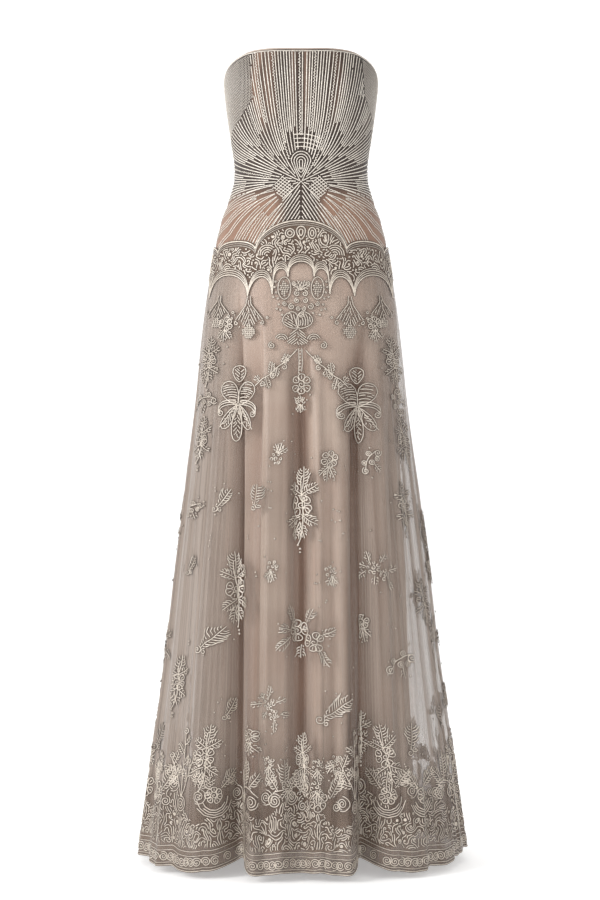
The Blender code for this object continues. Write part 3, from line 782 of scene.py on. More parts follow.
def cords(name, flat, lines, out, step, section, bead=0.0):
    """Lines on paper made into raised cords. A line is (column, points, half width, tone). Each cross-section
    stands at P + (across * side + up * normal) * half width; with bead above 0, every second one is
    smaller by that share, which makes a string of beads."""
    even = [evenly(points, step)[0] for _, points, _, _ in lines]
    sizes = [len(points) for points in even]
    paper = np.concatenate(even)
    base, half, tone = (np.repeat([line[k] for line in lines], sizes) for k in (0, 2, 3))
    number = np.repeat(np.arange(len(lines)), sizes)
    column = column_at(flat, base, paper[:, 0], paper[:, 1])
    middle = flat["face"](column, paper[:, 1])
    normal = normals(flat["face"], column, paper[:, 1])
    same = number[:-1] == number[1:]
    ahead = np.zeros_like(middle)
    ahead[:-1][same] = np.diff(middle, axis=0)[same]
    behind = np.zeros_like(middle)
    behind[1:][same] = np.diff(middle, axis=0)[same]
    side = np.cross(normal, ahead + behind)
    side /= np.linalg.norm(side, axis=-1, keepdims=True) + 1e-12
    place = np.concatenate([np.arange(size) for size in sizes])
    grow = half * (1.0 - bead * (place % 2))
    shape = np.array(section)
    points = (
        middle[:, None]
        + side[:, None] * (shape[None, :, 0:1] * grow[:, None, None])
        + normal[:, None] * (out + shape[None, :, 1:2] * grow[:, None, None])
    )
    k = len(shape)
    corner = np.flatnonzero(same)[:, None] * k + np.arange(k - 1)
    faces = np.stack([corner, corner + k, corner + k + 1, corner + 1], axis=-1).reshape(-1, 4)
    mesh = solid_mesh(name, points.reshape(-1, 3), faces)
    # rim: 1 on the top of a cord, 0 at its foot, where the finish paints shadow.
    add_values(mesh, "rim", np.tile(shape[:, 2], len(middle)))
    add_values(mesh, "tone", np.repeat(tone, k))
    return mesh


def sew(name, flat, lines, out, step, section, finish, slot_name, bead=0.0):
    """Lines on paper made into one piece of cords or beads on the gown."""
    mesh = cords(name, flat, lines, out, step, section, bead)
    piece(name, mesh, finish, slot_name)
    print(name, len(lines), "lines,", len(mesh.polygons) * 2, "triangles")


def mirrored(strings, way):
    """Strings as they are, or on the other half of the paper where way is -1."""
    return [(points * np.array([[way, 1.0]]), half, tone) for points, half, tone in strings]


def to_left(line):
    """Unit vectors at a right angle to a line, on its left."""
    ahead = np.gradient(line, axis=0)
    return np.stack([-ahead[:, 1], ahead[:, 0]], axis=-1) / (np.hypot(*ahead.T)[:, None] + 1e-9)


def zigzag(turns):
    """A wave of straight lines between -1 and 1."""
    return np.abs(turns % 1.0 * 4 - 2) - 1


def split(line, inside):
    """The stretches of a line that lie inside, each of three points or more."""
    edge = np.flatnonzero(np.diff(np.concatenate([[0], inside.astype(int), [0]])))
    return [line[a:b] for a, b in edge.reshape(-1, 2) if b - a >= 3]


CELLS = 6  # cells of the search grid to one pitch


def lay_rows(way, inside, seeds, box, pitch, longest, near, others=(), step=0.0016, late=()):
    """Rows laid side by side over a shape on paper. way(points) is the direction of the rows. A row grows both
    ways from its seed, point + step * way(point), until it leaves the shape, comes nearer to another
    row than `near` pitches, or is long enough. The next seeds lie one pitch to each side of it. The late seeds
    come last and fill any hole."""
    low, high = np.array(box)
    cell = pitch / CELLS
    shape = ((high - low) / cell).astype(int) + 2
    spots = np.stack(np.meshgrid(*(low[k] + cell * np.arange(shape[k]) for k in (0, 1)), indexing="ij"), axis=-1)
    full = ~inside(spots.reshape(-1, 2)).reshape(shape)
    taken = full.copy()
    reach = np.arange(-CELLS, CELLS + 1)
    reach = np.stack(np.meshgrid(reach, reach, indexing="ij"), axis=-1).reshape(-1, 2)
    apart = np.hypot(*reach.T) / CELLS

    def cells_of(points):
        return np.clip(((points - low) / cell).astype(int), 0, shape - 1)

    def mark(line):
        for grid, width in ((full, near), (taken, 0.88)):
            spot = np.clip((cells_of(line)[:, None] + reach[apart < width]).reshape(-1, 2), 0, shape - 1)
            grid[spot[:, 0], spot[:, 1]] = True

    for line in others:
        mark(evenly(line, cell * 3)[0])
    rows, steps, seeds = [], int(longest / step / 2), np.array(seeds)
    while len(seeds) or len(late):
        if not len(seeds):
            seeds, late = np.array(late), ()
        spot = cells_of(seeds)
        seeds = seeds[~taken[spot[:, 0], spot[:, 1]]]
        halves = []
        for sign in (1, -1):
            point, trail = seeds, [seeds]
            for _ in range(steps):
                point = point + sign * step * way(point + sign * step / 2 * way(point))
                trail.append(point)
            halves.append(np.stack(trail, axis=1))
        trails = np.concatenate([halves[1][:, :0:-1], halves[0]], axis=1)
        found = []
        for trail, spot in zip(trails, cells_of(trails)):
            if taken[spot[steps, 0], spot[steps, 1]]:
                continue
            free = ~full[spot[:, 0], spot[:, 1]]
            some = int(steps * (0.3 + 0.7 * draw.random())) if longest < 0.2 else steps
            after = steps + min(some, np.argmin(np.append(free[steps:], False)))
            before = steps - min(some, np.argmin(np.append(free[steps::-1], False))) + 1
            if after - before > 3:
                found.append(trail[before:after])
                mark(trail[before:after])
        rows += found
        beside = []
        for row in found:
            out = pitch * to_left(row)[1::4]
            beside += [row[1::4] + out, row[1::4] - out]
        seeds = np.concatenate(beside) if beside else []
    return rows


flat_bodice = unroll(bodice_face, 0.215, HIP_SEAM)
flat_net = unroll(net_face, -0.08, -1.21)
print("half waist", round(float(run_at(flat_bodice, 90.0, 0.0)), 4), "m")

# %% [markdown]
# ## Bodice beading
# Strings of ivory beads fan out from the middle of the waist, close together everywhere, so a string
# ends where its neighbours close up on it. Near the middle the strings point straight away from it, and further
# out they bend to the slopes of a table. Over the hips they are thin and far apart, and bare nude net shows.
# The back has the same fan on each side of the zip.

# %% Bead tables
BEAD_STEP, BEAD_HALF, BEAD_PITCH = 0.00140, 0.00104, 0.00490
FOCUS, ZIP_HALF = -0.022, 0.0032
WAIST = np.array([0.0, FOCUS])
# Half width of the knot of arches, and how far its round part stands over the focus.
KNOT_HALF, KNOT_RISE = 0.0195, 0.035
# Angle of a row at the focus, and its slope far out.
SLOPES = np.array(
    ((0.0, 0.0), (10.0, 4.0), (25.0, 9.5), (35.0, 17.0), (44.0, 28.0), (52.0, 43.0), (58.0, 56.0), (66.0, 64.0),
     (76.0, 73.0), (86.0, 82.0), (96.0, 98.0), (106.0, 114.0), (146.0, 146.0), (180.0, 152.0))
)
PEAK_ANGLE = 146.0
SEED_BANDS = np.array((-0.083, -0.052, -0.004, 0.026, 0.062))
# Inner angle, outer angle and number of strings side by side, for each bundle over a hip.
HIP_BUNDLES = (
    (97, 102, 4), (103, 111, 3), (109, 118.5, 2), (115, 125.5, 3), (121, 131.5, 2), (127, 136.5, 3), (133, 141, 4)
)
HIP_STRINGS = [(inner, outer, aside) for inner, outer, many in HIP_BUNDLES for aside in np.arange(many) * 0.0047]
# Height and distance from the middle of the edge of the underarm patch, right and left.
UNDERARM = {
    1: np.array(((0.085, 0.175), (0.105, 0.140), (0.130, 0.122), (0.210, 0.108))),
    -1: np.array(((0.050, 0.175), (0.090, 0.115), (0.122, 0.082), (0.210, 0.092))),
}


# %% Rows of beads
def bodice_top(column, back):
    """The top edge over a column that is counted from the middle of the front or of the back."""
    return top_edge(180.0 - column if back else column)


def bodice_seam(height):
    return run_at(flat_bodice, 90.0, height) - 0.0010


def patch_edge(side, height):
    return np.interp(height, UNDERARM[side][:, 0], UNDERARM[side][:, 1], left=9.0)


def bodice_limit(side, back, line):
    """True where a line on paper lies on this half of the bodice: under the top edge, over the yoke, between
    the middle and the side seam, and clear of the underarm patch."""
    across, height = np.abs(line[:, 0]), line[:, 1]
    column = column_at(flat_bodice, 0.0, across, height)
    edge = np.minimum(bodice_seam(height), patch_edge(side, height))
    yoke = arches(UPPER_ARCHES, column) + 0.0010
    return (height < bodice_top(column, back) - 0.0030) & (across < edge) & (height > yoke)


def in_lattice(line):
    return np.abs(line[:, 0] - 0.031) / 0.0195 + np.abs(line[:, 1] - FOCUS + 0.010) / 0.0225 < 1.0


def row_limit(side, back, line):
    """The bodice limit, less the nested arches, the lattices and the bare hips."""
    across, up = line[:, 0], line[:, 1] - FOCUS
    arch = (np.hypot(across / KNOT_HALF, (up - KNOT_RISE) / KNOT_HALF) < 1.0) & (up > KNOT_RISE)
    arch |= (across < KNOT_HALF * np.clip(up / KNOT_RISE, 0.0, 1.0) ** 0.7) & (up > 0.0) & (up <= KNOT_RISE)
    turn = np.degrees(np.arctan2(across, up))
    hips = (turn > 100.0) & (turn < 142.0) & (np.hypot(across, up) > 0.048)
    return bodice_limit(side, back, line) & (line[:, 0] > 0.0012) & ~arch & ~hips & ~in_lattice(line)


def row_way(points):
    """The direction of the rows: straight away from the focus near it, and far out the slope in the table."""
    across, up = points[..., 0], points[..., 1] - FOCUS
    turn = np.degrees(np.arctan2(np.abs(across), up))
    far = np.interp(turn, SLOPES[:, 0], SLOPES[:, 1])
    near = np.minimum(turn, PEAK_ANGLE)
    angle = np.radians(near + (far - near) * np.clip(np.hypot(across, up) / 0.13, 0.0, 1.0))
    return compass(angle)


def seed_row(row, swing):
    """A row as small seed beads that zigzag from side to side, with a little unevenness."""
    line, along = evenly(row, 0.0011)
    wave = swing * zigzag(along / 0.0052) + draw.normal(0, 0.0004, len(along))
    return line + wave[:, None] * to_left(line)


def fan(side, back):
    """The close rows of one half of the bodice, as (points, half width, tone)."""
    box = ((0.0, -0.165), (0.26, 0.215))
    seeds = ((0.0022, 0.12), (0.0026, -0.075), (0.10, FOCUS))
    rows = lay_rows(row_way, lambda line: row_limit(side, back, line), seeds, box, BEAD_PITCH, 0.40, 0.54)
    strings = []
    for row in rows:
        top = row[np.argmax(row[:, 1])]
        if top[1] > 0.13 and np.abs(side * top[0] - SEED_BANDS).min() < 0.0026:
            strings.append((seed_row(row, 0.0016), BEAD_HALF * 0.85, 0.15))
        elif draw.random() < 0.06:
            strings.append((seed_row(row, 0.0012), BEAD_HALF * 0.8, 0.2))
        else:
            strings.append((row, BEAD_HALF * draw.uniform(0.92, 1.08), 0.16 * draw.random()))
    across = np.linspace(0.0, 0.27, 400)
    column = column_at(flat_bodice, 0.0, across, 0.16)
    edge = np.stack([across, bodice_top(column, back) - 0.0022], axis=-1)
    seam = float(run_at(flat_bodice, 90.0, 0.15))
    return strings + [(edge[across < seam - 0.002], BEAD_HALF * 0.9, 0.1)]


def hip_strings(side, back):
    """Thin strings, two to four side by side, that sweep out and down over the bare hips."""
    strings = []
    for number, (inner, outer, aside) in enumerate(HIP_STRINGS):
        radii = np.linspace(0.050 + 0.034 * (number % 2), 0.24, 120)
        angle = np.radians(inner + (outer - inner) * np.clip((radii - 0.03) / 0.10, 0, 1.3) ** 1.2) + aside / radii
        line = radii[:, None] * compass(angle) + WAIST
        for part in split(line, bodice_limit(side, back, line)):
            if number % 9 == 4:
                strings.append((seed_row(part, 0.0008), BEAD_HALF * 0.7, 0.1))
            else:
                strings.append((part, BEAD_HALF * 0.78, 0.04 + 0.12 * draw.random()))
    return strings


def underarm(side, back):
    """Close, upright rows of small greyer beads in soft zigzags, in the patch under the arm."""
    strings = []
    for across in np.arange(0.078, 0.2, 0.0034):
        height = np.arange(-0.01, 0.21, 0.001)
        wave = 0.0010 * zigzag(height / 0.0046 + across * 90)
        line = np.stack([side * (across + wave + 0.02 * (0.12 - height)), height], axis=-1)
        far = np.abs(line[:, 0])
        inside = (far > patch_edge(side, height) + 0.0015) & (far < bodice_seam(height))
        inside &= height < bodice_top(column_at(flat_bodice, 0.0, far, height), back) - 0.0030
        strings += [(part, BEAD_HALF * 0.75, 0.42) for part in split(line, inside)]
    return strings


def waist_knot(side):
    """The middle of the fan on one half: nested pointed arches, rungs over them, and a lattice below."""
    strings = []
    for number, radius in enumerate((0.0030, 0.0076, 0.0122, 0.0168)):
        arch = radius * compass(np.radians(np.linspace(0.0, 90.0, 14))) + np.array([0.0, FOCUS + KNOT_RISE])
        foot = np.array([[radius * 0.62, FOCUS + 0.020], [0.0006, FOCUS + 0.024 - 0.0085 * number]])
        strings.append((np.concatenate([arch, foot]), BEAD_HALF * 0.85, 0.05))
    for radius in (0.060, 0.067, 0.074, 0.081):
        turn = np.radians(np.linspace(0.0, 26.0 if side > 0 else 9.0, 14))
        strings.append((radius * compass(turn) + WAIST, BEAD_HALF * 0.8, 0.0))
    t = np.linspace(-0.05, 0.05, 90)
    for lean in (0.62, -0.75):
        for step in np.arange(-12, 13) * 0.0047:
            x, y = t * np.cos(lean) - step * np.sin(lean), t * np.sin(lean) + step * np.cos(lean)
            line = np.array([0.031, FOCUS - 0.010]) + np.stack([x, y], axis=-1)
            strings += [(part, BEAD_HALF * 0.8, 0.1) for part in split(line, in_lattice(line))]
    return mirrored(strings, side)


bead_lines = {"front": [], "back_right": [], "back_left": []}
for side in (1, -1):
    for back in (False, True):
        strings = mirrored(fan(side, back) + hip_strings(side, back), side) + underarm(side, back) + waist_knot(side)
        if back:
            key = "back_right" if side > 0 else "back_left"
            for points, half, tone in mirrored(strings, -1.0):
                clear = points[np.abs(points[:, 0]) > ZIP_HALF]
                if len(clear) > 2:
                    bead_lines[key].append((180.0 * side, clear, half, tone))
        else:
            bead_lines["front"] += [(0.0, *string) for string in strings]
for ending, lines in bead_lines.items():
    sew("bodice_beads_" + ending, flat_bodice, lines, 0.0003, BEAD_STEP, ROUND, BEADS, "beaded_net", 0.38)

# %% [markdown]
# ## Lace and embroidery motifs
# The yoke, the hem and the sprigs are all drawn with the same few things: loops, rings, spirals, leaves with
# slanting veins, and close swirls that fill whatever is left. They are ordinary garden motifs, drawn here
# by formula at the size and spacing of the real ones.

# %% Motif parts
CORD_HALF, CORD_STEP = 0.00092, 0.0022


def ring(radius, start=0.0, sweep=360.0):
    """Part of a circle: (r sin a, r cos a)."""
    turn = np.radians(np.linspace(start, start + sweep, max(5, int(abs(sweep) / 24) + 1)))
    return radius * compass(turn)


def dot(radius, x, y):
    """A single small bead."""
    return ring(radius, sweep=330.0) + np.array([x, y])


def coil(radius, turns, start=0.0):
    """A spiral whose radius shrinks evenly as it turns: r (1 - 0.9 t)."""
    t = np.linspace(0.0, 1.0, int(15 * abs(turns)) + 3)
    turn = np.radians(start) + 2 * np.pi * turns * t
    return (radius * (1 - 0.9 * t))[:, None] * compass(turn)


def petal(length, width):
    """A closed loop from its foot: up (1 - cos a) / 2, and across sin a, wider towards its tip."""
    turn = np.linspace(0.0, 2 * np.pi, 15)
    up = (1 - np.cos(turn)) / 2
    return np.stack([0.62 * width * np.sin(turn) * (0.45 + 0.55 * up), length * up], axis=-1)


def moved(lines, dx=0.0, dy=0.0, turn=0.0, flip=1.0):
    """Lines flipped, turned clockwise by an angle, and then shifted."""
    a = np.radians(turn)
    spin = np.array([[np.cos(a), -np.sin(a)], [np.sin(a), np.cos(a)]])
    return [(line * np.array([flip, 1.0])) @ spin + np.array([dx, dy]) for line in lines]


def leaf(length, width, gap=0.0048):
    """A feathery leaf: a middle vein, and short strokes that leave it at a slant on both sides."""
    lines = [np.array([[0.0, 0.0], [0.03 * length, 0.5 * length], [0.0, length]])]
    for number, foot in enumerate(np.arange(0.25 * gap, length * 0.86, gap / 2)):
        reach = max(0.62 * width * np.sin(np.pi * (foot / length) ** 0.75), 0.0034)
        way, end = (1.0 if number % 2 else -1.0), reach * (0.75 + 0.5 * draw.random())
        middle = [way * (0.0016 + 0.6 * end), foot + 0.35 * end]
        lines.append(np.array([[way * 0.0022, foot + 0.001], middle, [way * end, foot + 0.9 * end]]))
    return lines


def flower(radius, petals=6):
    """A coil inside uneven petals. Small flowers have rings for petals, as loops would close up."""
    lines = [coil(0.36 * radius, max(1.2, 0.36 * radius / 0.0042))]
    for number in range(petals):
        turn = 360.0 * number / petals + draw.normal(0, 9)
        a, long = np.radians(turn), radius * draw.uniform(0.54, 0.74)
        if radius < 0.012:
            far, round_petal = 0.72 * radius, ring(0.0023 * draw.uniform(0.8, 1.2), 40.0 * number, 290.0)
            lines += moved([round_petal], far * np.sin(a), far * np.cos(a))
        else:
            vein = np.array([[0.0, 0.30], [0.0, 0.52], [0.0, 0.74]]) * long
            far = 0.34 * radius
            lines += moved([petal(long, 0.70 * radius), vein], far * np.sin(a), far * np.cos(a), turn)
    return lines


def berries(count, spread):
    """Small single beads scattered round a motif."""
    turn, far = draw.random(count) * 2 * np.pi, spread * (0.7 + 0.5 * draw.random(count))
    return [dot(0.0010, r * np.sin(a), r * np.cos(a)) for a, r in zip(turn, far)]


def grapes(length, width, gap=0.0042):
    """Small rings packed in a hanging drop."""
    lines = []
    for row, down in enumerate(np.arange(0.2 * gap, length - 0.5 * gap, gap * 0.88)):
        reach = 0.5 * width * np.sin(np.pi * np.clip(down / length, 0, 1) ** 0.8)
        across = np.arange(-reach + (row % 2) * gap / 2, reach + 1e-6, gap)
        lines += [dot(0.0013, x, -down - gap / 2) for x in across]
    return lines


def oval(wide, tall):
    turn = np.linspace(0.0, 2 * np.pi, 25)
    return np.stack([wide * np.sin(turn), tall * np.cos(turn)], axis=-1)


def slanted(degrees):
    """Rows that lean away from the middle line on both sides, as the veins of a leaf do."""
    a = np.radians(degrees)
    return lambda p: np.stack([np.where(p[..., 0] < 0, -1.0, 1.0) * np.sin(a), np.cos(a) + 0 * p[..., 0]], axis=-1)


def turning(x, y):
    """Rows that run round a point: across its distance at a right angle."""

    def way(p):
        across = np.stack([y - p[..., 1], p[..., 0] - x], axis=-1)
        return across / (np.linalg.norm(across, axis=-1, keepdims=True) + 1e-9)

    return way


def packed(loop, way, pitch=0.0037):
    """A closed shape and the rows that fill it. A point is inside where a line to its right crosses the loop an
    odd number of times."""
    after = np.roll(loop, -1, axis=0)

    def inside(points):
        x, y = points[:, :1], points[:, 1:]
        over = (loop[:, 1] > y) != (after[:, 1] > y)
        meets = loop[:, 0] + (y - loop[:, 1]) * (after[:, 0] - loop[:, 0]) / (after[:, 1] - loop[:, 1] + 1e-12)
        return (over & (x < meets)).sum(axis=1) % 2 == 1

    low, high = loop.min(axis=0), loop.max(axis=0)
    seeds = np.stack(np.meshgrid(*(np.linspace(low[k], high[k], 9)[1:-1] for k in (0, 1))), axis=-1)
    closed, box = np.concatenate([loop, loop[:1]]), (low - 0.001, high + 0.001)
    return [closed] + lay_rows(way, inside, seeds.reshape(-1, 2), box, pitch, 0.05, 0.62, [closed], 0.0011)


def leaves(tall, width, places):
    """Leaves of one width, each given by its foot, its turn and its length, all in shares of the height."""
    lines = []
    for x, y, turn, long in places:
        lines += moved(leaf(long * tall, width * tall), x * tall, y * tall, turn)
    return lines


def stem(points):
    """A smooth stem through a few points: a polynomial of the third power at most."""
    points = np.array(points)
    t, fine = np.linspace(0, 1, len(points)), np.linspace(0, 1, 16)
    power = min(3, len(points) - 1)
    return np.stack([np.polyval(np.polyfit(t, points[:, k], power), fine) for k in (0, 1)], axis=-1)


# %% Whole motifs, drawn at their real size in metres
def long_sprig(tall):
    """A tall stem with leaves in pairs, a flower, a bud on top and a trailing tail of beads."""
    half = tall / 2
    lines = [stem([(0, -half), (0.03 * tall, -0.1 * tall), (-0.02 * tall, 0.25 * tall), (0, half * 0.8)])]
    lines += moved(flower(0.15 * tall, 7), 0.0, 0.02 * tall)
    lines += moved(leaf(0.30 * tall, 0.15 * tall), 0.0, 0.22 * tall)
    lines += leaves(tall, 0.11, (
        (0.0, 0.16, 52, 0.24), (0.0, 0.15, -58, 0.22), (0.0, -0.10, 118, 0.26), (0.0, -0.13, -124, 0.24),
        (0.0, -0.2, 160, 0.22), (0.0, -0.2, -165, 0.26),
    ))
    lines += [dot(0.0013, 0.004 * np.sin(k), -half - 0.006 * k) for k in range(3)]
    return lines + berries(6, 0.3 * tall)


def bouquet(tall):
    """Two flowers side by side among leaves that spread and hang."""
    lines = moved(flower(0.20 * tall, 7), -0.10 * tall, 0.03 * tall)
    lines += moved(flower(0.17 * tall), 0.24 * tall, -0.12 * tall)
    lines += leaves(tall, 0.13, (
        (-0.22, 0.16, -28, 0.34), (0.05, 0.20, 20, 0.28), (-0.28, -0.1, -140, 0.36), (0.0, -0.2, 175, 0.24),
        (0.34, -0.24, 140, 0.36), (0.36, 0.02, 60, 0.26), (-0.3, 0.02, -85, 0.2),
    ))
    return lines + berries(9, 0.5 * tall)


def small_sprig(tall):
    """A flower over a fan of three leaves."""
    lines = moved(flower(0.24 * tall), 0.0, 0.20 * tall)
    lines += leaves(tall, 0.17, ((0.0, 0.02, 180, 0.44), (0.0, 0.02, 146, 0.38), (0.0, 0.02, -146, 0.38)))
    return lines + berries(4, 0.55 * tall)


def feather(tall):
    """One curled leaf with a bead cluster at its foot."""
    lines = moved(leaf(0.7 * tall, 0.32 * tall), 0.02 * tall, -0.18 * tall, 14)
    lines += moved([coil(0.11 * tall, 1.5)], -0.04 * tall, -0.28 * tall)
    lines += moved([coil(0.08 * tall, -1.4)], 0.13 * tall, -0.24 * tall)
    return lines + berries(4, 0.5 * tall)


def curled_branch(tall):
    """A bent stem with a coil at each end and round buds along it."""
    lines = [stem([(-0.3 * tall, -0.3 * tall), (-0.1 * tall, 0.1 * tall), (0.25 * tall, 0.3 * tall)])]
    lines += moved([coil(0.13 * tall, 1.8, 90)], 0.30 * tall, 0.22 * tall)
    lines += moved([coil(0.12 * tall, -1.8)], -0.28 * tall, -0.2 * tall)
    for x, y in ((-0.22, 0.06), (0.0, 0.0), (0.02, 0.3), (0.2, 0.05)):
        lines += moved([ring(0.075 * tall), ring(0.03 * tall)], x * tall, y * tall)
    return lines + moved(leaf(0.3 * tall, 0.14 * tall), 0.05 * tall, -0.08 * tall, 160) + berries(4, 0.5 * tall)


def palmette(tall):
    """A large hanging motif: a bud on top, two round lobes, an arm with a coil on each side, and a spread tail."""
    lines = moved(packed(petal(0.22 * tall, 0.20 * tall), slanted(50.0)), 0.0, 0.28 * tall)
    for way in (-1.0, 1.0):
        lobe = packed(petal(0.34 * tall, 0.24 * tall), turning(way * 0.10 * tall, -0.02 * tall))
        lines += moved(lobe, way * 0.015 * tall, -0.02 * tall, way * 33)
        arm = tall * stem([(way * 0.03, 0.0), (way * 0.16, -0.01), (way * 0.25, -0.05), (way * 0.29, -0.12)])
        lines += [arm, arm + np.array([0.0, 0.0038]), arm - np.array([way * 0.002, 0.0038])]
        lines += moved([coil(0.055 * tall, 1.8 * way)], way * 0.24 * tall, -0.15 * tall)
        low_leaf = packed(petal(0.36 * tall, 0.14 * tall), slanted(40.0))
        lines += moved(low_leaf, way * 0.02 * tall, -0.05 * tall, way * 150)
        lines.append(tall * np.array([[way * 0.02, -0.03], [way * 0.16, -0.24], [way * 0.25, -0.36]]))
    return lines + moved(packed(petal(0.50 * tall, 0.15 * tall), slanted(40.0)), 0.0, -0.03 * tall, 180)


def pendant(tall):
    """Slanting rows that widen from a cusp and narrow again to a point of small rings."""
    half = tall * np.array([[0.03, 0.50], [0.06, 0.30], [0.20, 0.10], [0.32, -0.06], [0.20, -0.14], [0.16, -0.24]])
    lines = packed(np.concatenate([half, half[::-1] * np.array([-1.0, 1.0])]), slanted(156.0), 0.0034)[1:]
    for way in (-1.0, 1.0):
        lines += [half[:4] * np.array([way, 1.0])]
        lines += moved([coil(0.055 * tall, 1.4 * way)], way * 0.30 * tall, -0.14 * tall)
        lines += moved([ring(0.0018)], way * 0.42 * tall, -0.02 * tall)
    return lines + moved(grapes(0.34 * tall, 0.32 * tall, 0.0038), 0.0, -0.17 * tall)


def bow(tall):
    """Two round lobes over a peaked bell, with nested arches and a coil at each end."""
    lines = []
    for way in (-1.0, 1.0):
        rows = slanted(22.0) if way < 0 else turning(-0.16 * tall, 0.05 * tall)
        lines += moved(packed(petal(0.42 * tall, 0.40 * tall), rows), way * 0.01 * tall, 0.06 * tall, way * 38)
        nested = [ring(radius * tall, -80 * way, 150 * way) for radius in (0.05, 0.10, 0.15)]
        lines += moved(nested, way * 0.38 * tall, -0.24 * tall)
        lines += moved([coil(0.085 * tall, 1.8 * way)], way * 0.61 * tall, -0.36 * tall)
    half = tall * np.array([[0.0, 0.10], [0.17, 0.0], [0.30, -0.32], [0.13, -0.38]])
    return lines + packed(np.concatenate([half, half[:0:-1] * np.array([-1.0, 1.0])]), slanted(128.0))[1:]


# Places of the coils, with their radii, and of the beads in one half of the crest.
CREST_COILS = (
    (0.07, -0.08, 0.055), (0.075, -0.21, 0.050), (0.17, -0.32, 0.060), (0.045, -0.36, 0.045), (0.29, -0.27, 0.045),
    (0.12, 0.10, 0.045),
)
CREST_DOTS = (
    (0.46, 0.14), (0.48, 0.04), (0.45, -0.06), (0.50, -0.14), (0.42, -0.17), (0.40, -0.28), (0.37, -0.38),
    (0.34, -0.47), (0.44, -0.36), (0.22, -0.44),
)


def crest(tall):
    """Leaves and coils between two ovals, with hanging beads."""
    lines = []
    for turn in (-58, -20, 20, 58):
        lines += moved(leaf(0.19 * tall, 0.07 * tall), 0.0, -0.02 * tall, turn)
    for way in (-1.0, 1.0):
        lines += moved([oval(0.115 * tall, 0.205 * tall)], way * 0.30 * tall, 0.02 * tall)
        lines += moved(grapes(0.30 * tall, 0.15 * tall, 0.0040), way * 0.30 * tall, 0.17 * tall)
        for x, y, radius in CREST_COILS:
            lines += moved([coil(radius * tall, 1.7 * way)], way * x * tall, y * tall)
        lines += [dot(0.0015, way * x * tall, y * tall) for x, y in CREST_DOTS]
    return lines + moved([coil(0.06 * tall, 1.8)], 0.0, -0.47 * tall)


def garland(tall):
    """A thin branch that sweeps down and outwards in small waves, with leaves, coils and buds along it."""
    t = np.linspace(0.0, 1.0, 22)
    path = np.stack([-0.06 * tall - 1.08 * tall * t, 0.42 * tall - 0.92 * tall * t**0.85], axis=-1)
    path += 0.035 * tall * np.sin(t * 17)[:, None] * np.array([0.6, 0.8])
    lines = [path]
    hung = ((4, -120, 0.16), (7, 30, 0.24), (10, -165, 0.20), (13, 10, 0.26), (16, 165, 0.26), (19, -40, 0.16))
    for place, turn, long in hung:
        lines += moved(leaf(1.2 * long * tall, 0.13 * tall, 0.0040), path[place][0], path[place][1], turn)
    for place, way in ((6, 1), (12, -1), (18, 1)):
        lines += moved([coil(0.075 * tall, 1.5 * way)], path[place][0], path[place][1] - 0.12 * tall)
    return lines


MOTIFS = {
    "crest": crest,
    "garland": garland,
    "long": long_sprig,
    "bouquet": bouquet,
    "small": small_sprig,
    "feather": feather,
    "branch": curled_branch,
    "palmette": palmette,
    "bow": bow,
    "grapes": lambda tall: grapes(tall, 0.5 * tall),
    "pendant": pendant,
    "flower": lambda tall: flower(tall / 2) + berries(3, 0.6 * tall),
    "beads": lambda tall: berries(5, tall / 2),
}

# %% [markdown]
# ## Sprigs on the net
# The sprigs lie in the same scattered way as on the real skirt: large ones down the middle, small ones
# between, and denser lace at the side seams. Each place is where it is seen from the front; a short search
# turns that into a column and a height on the cloth. The back gets the same scatter, turned round.

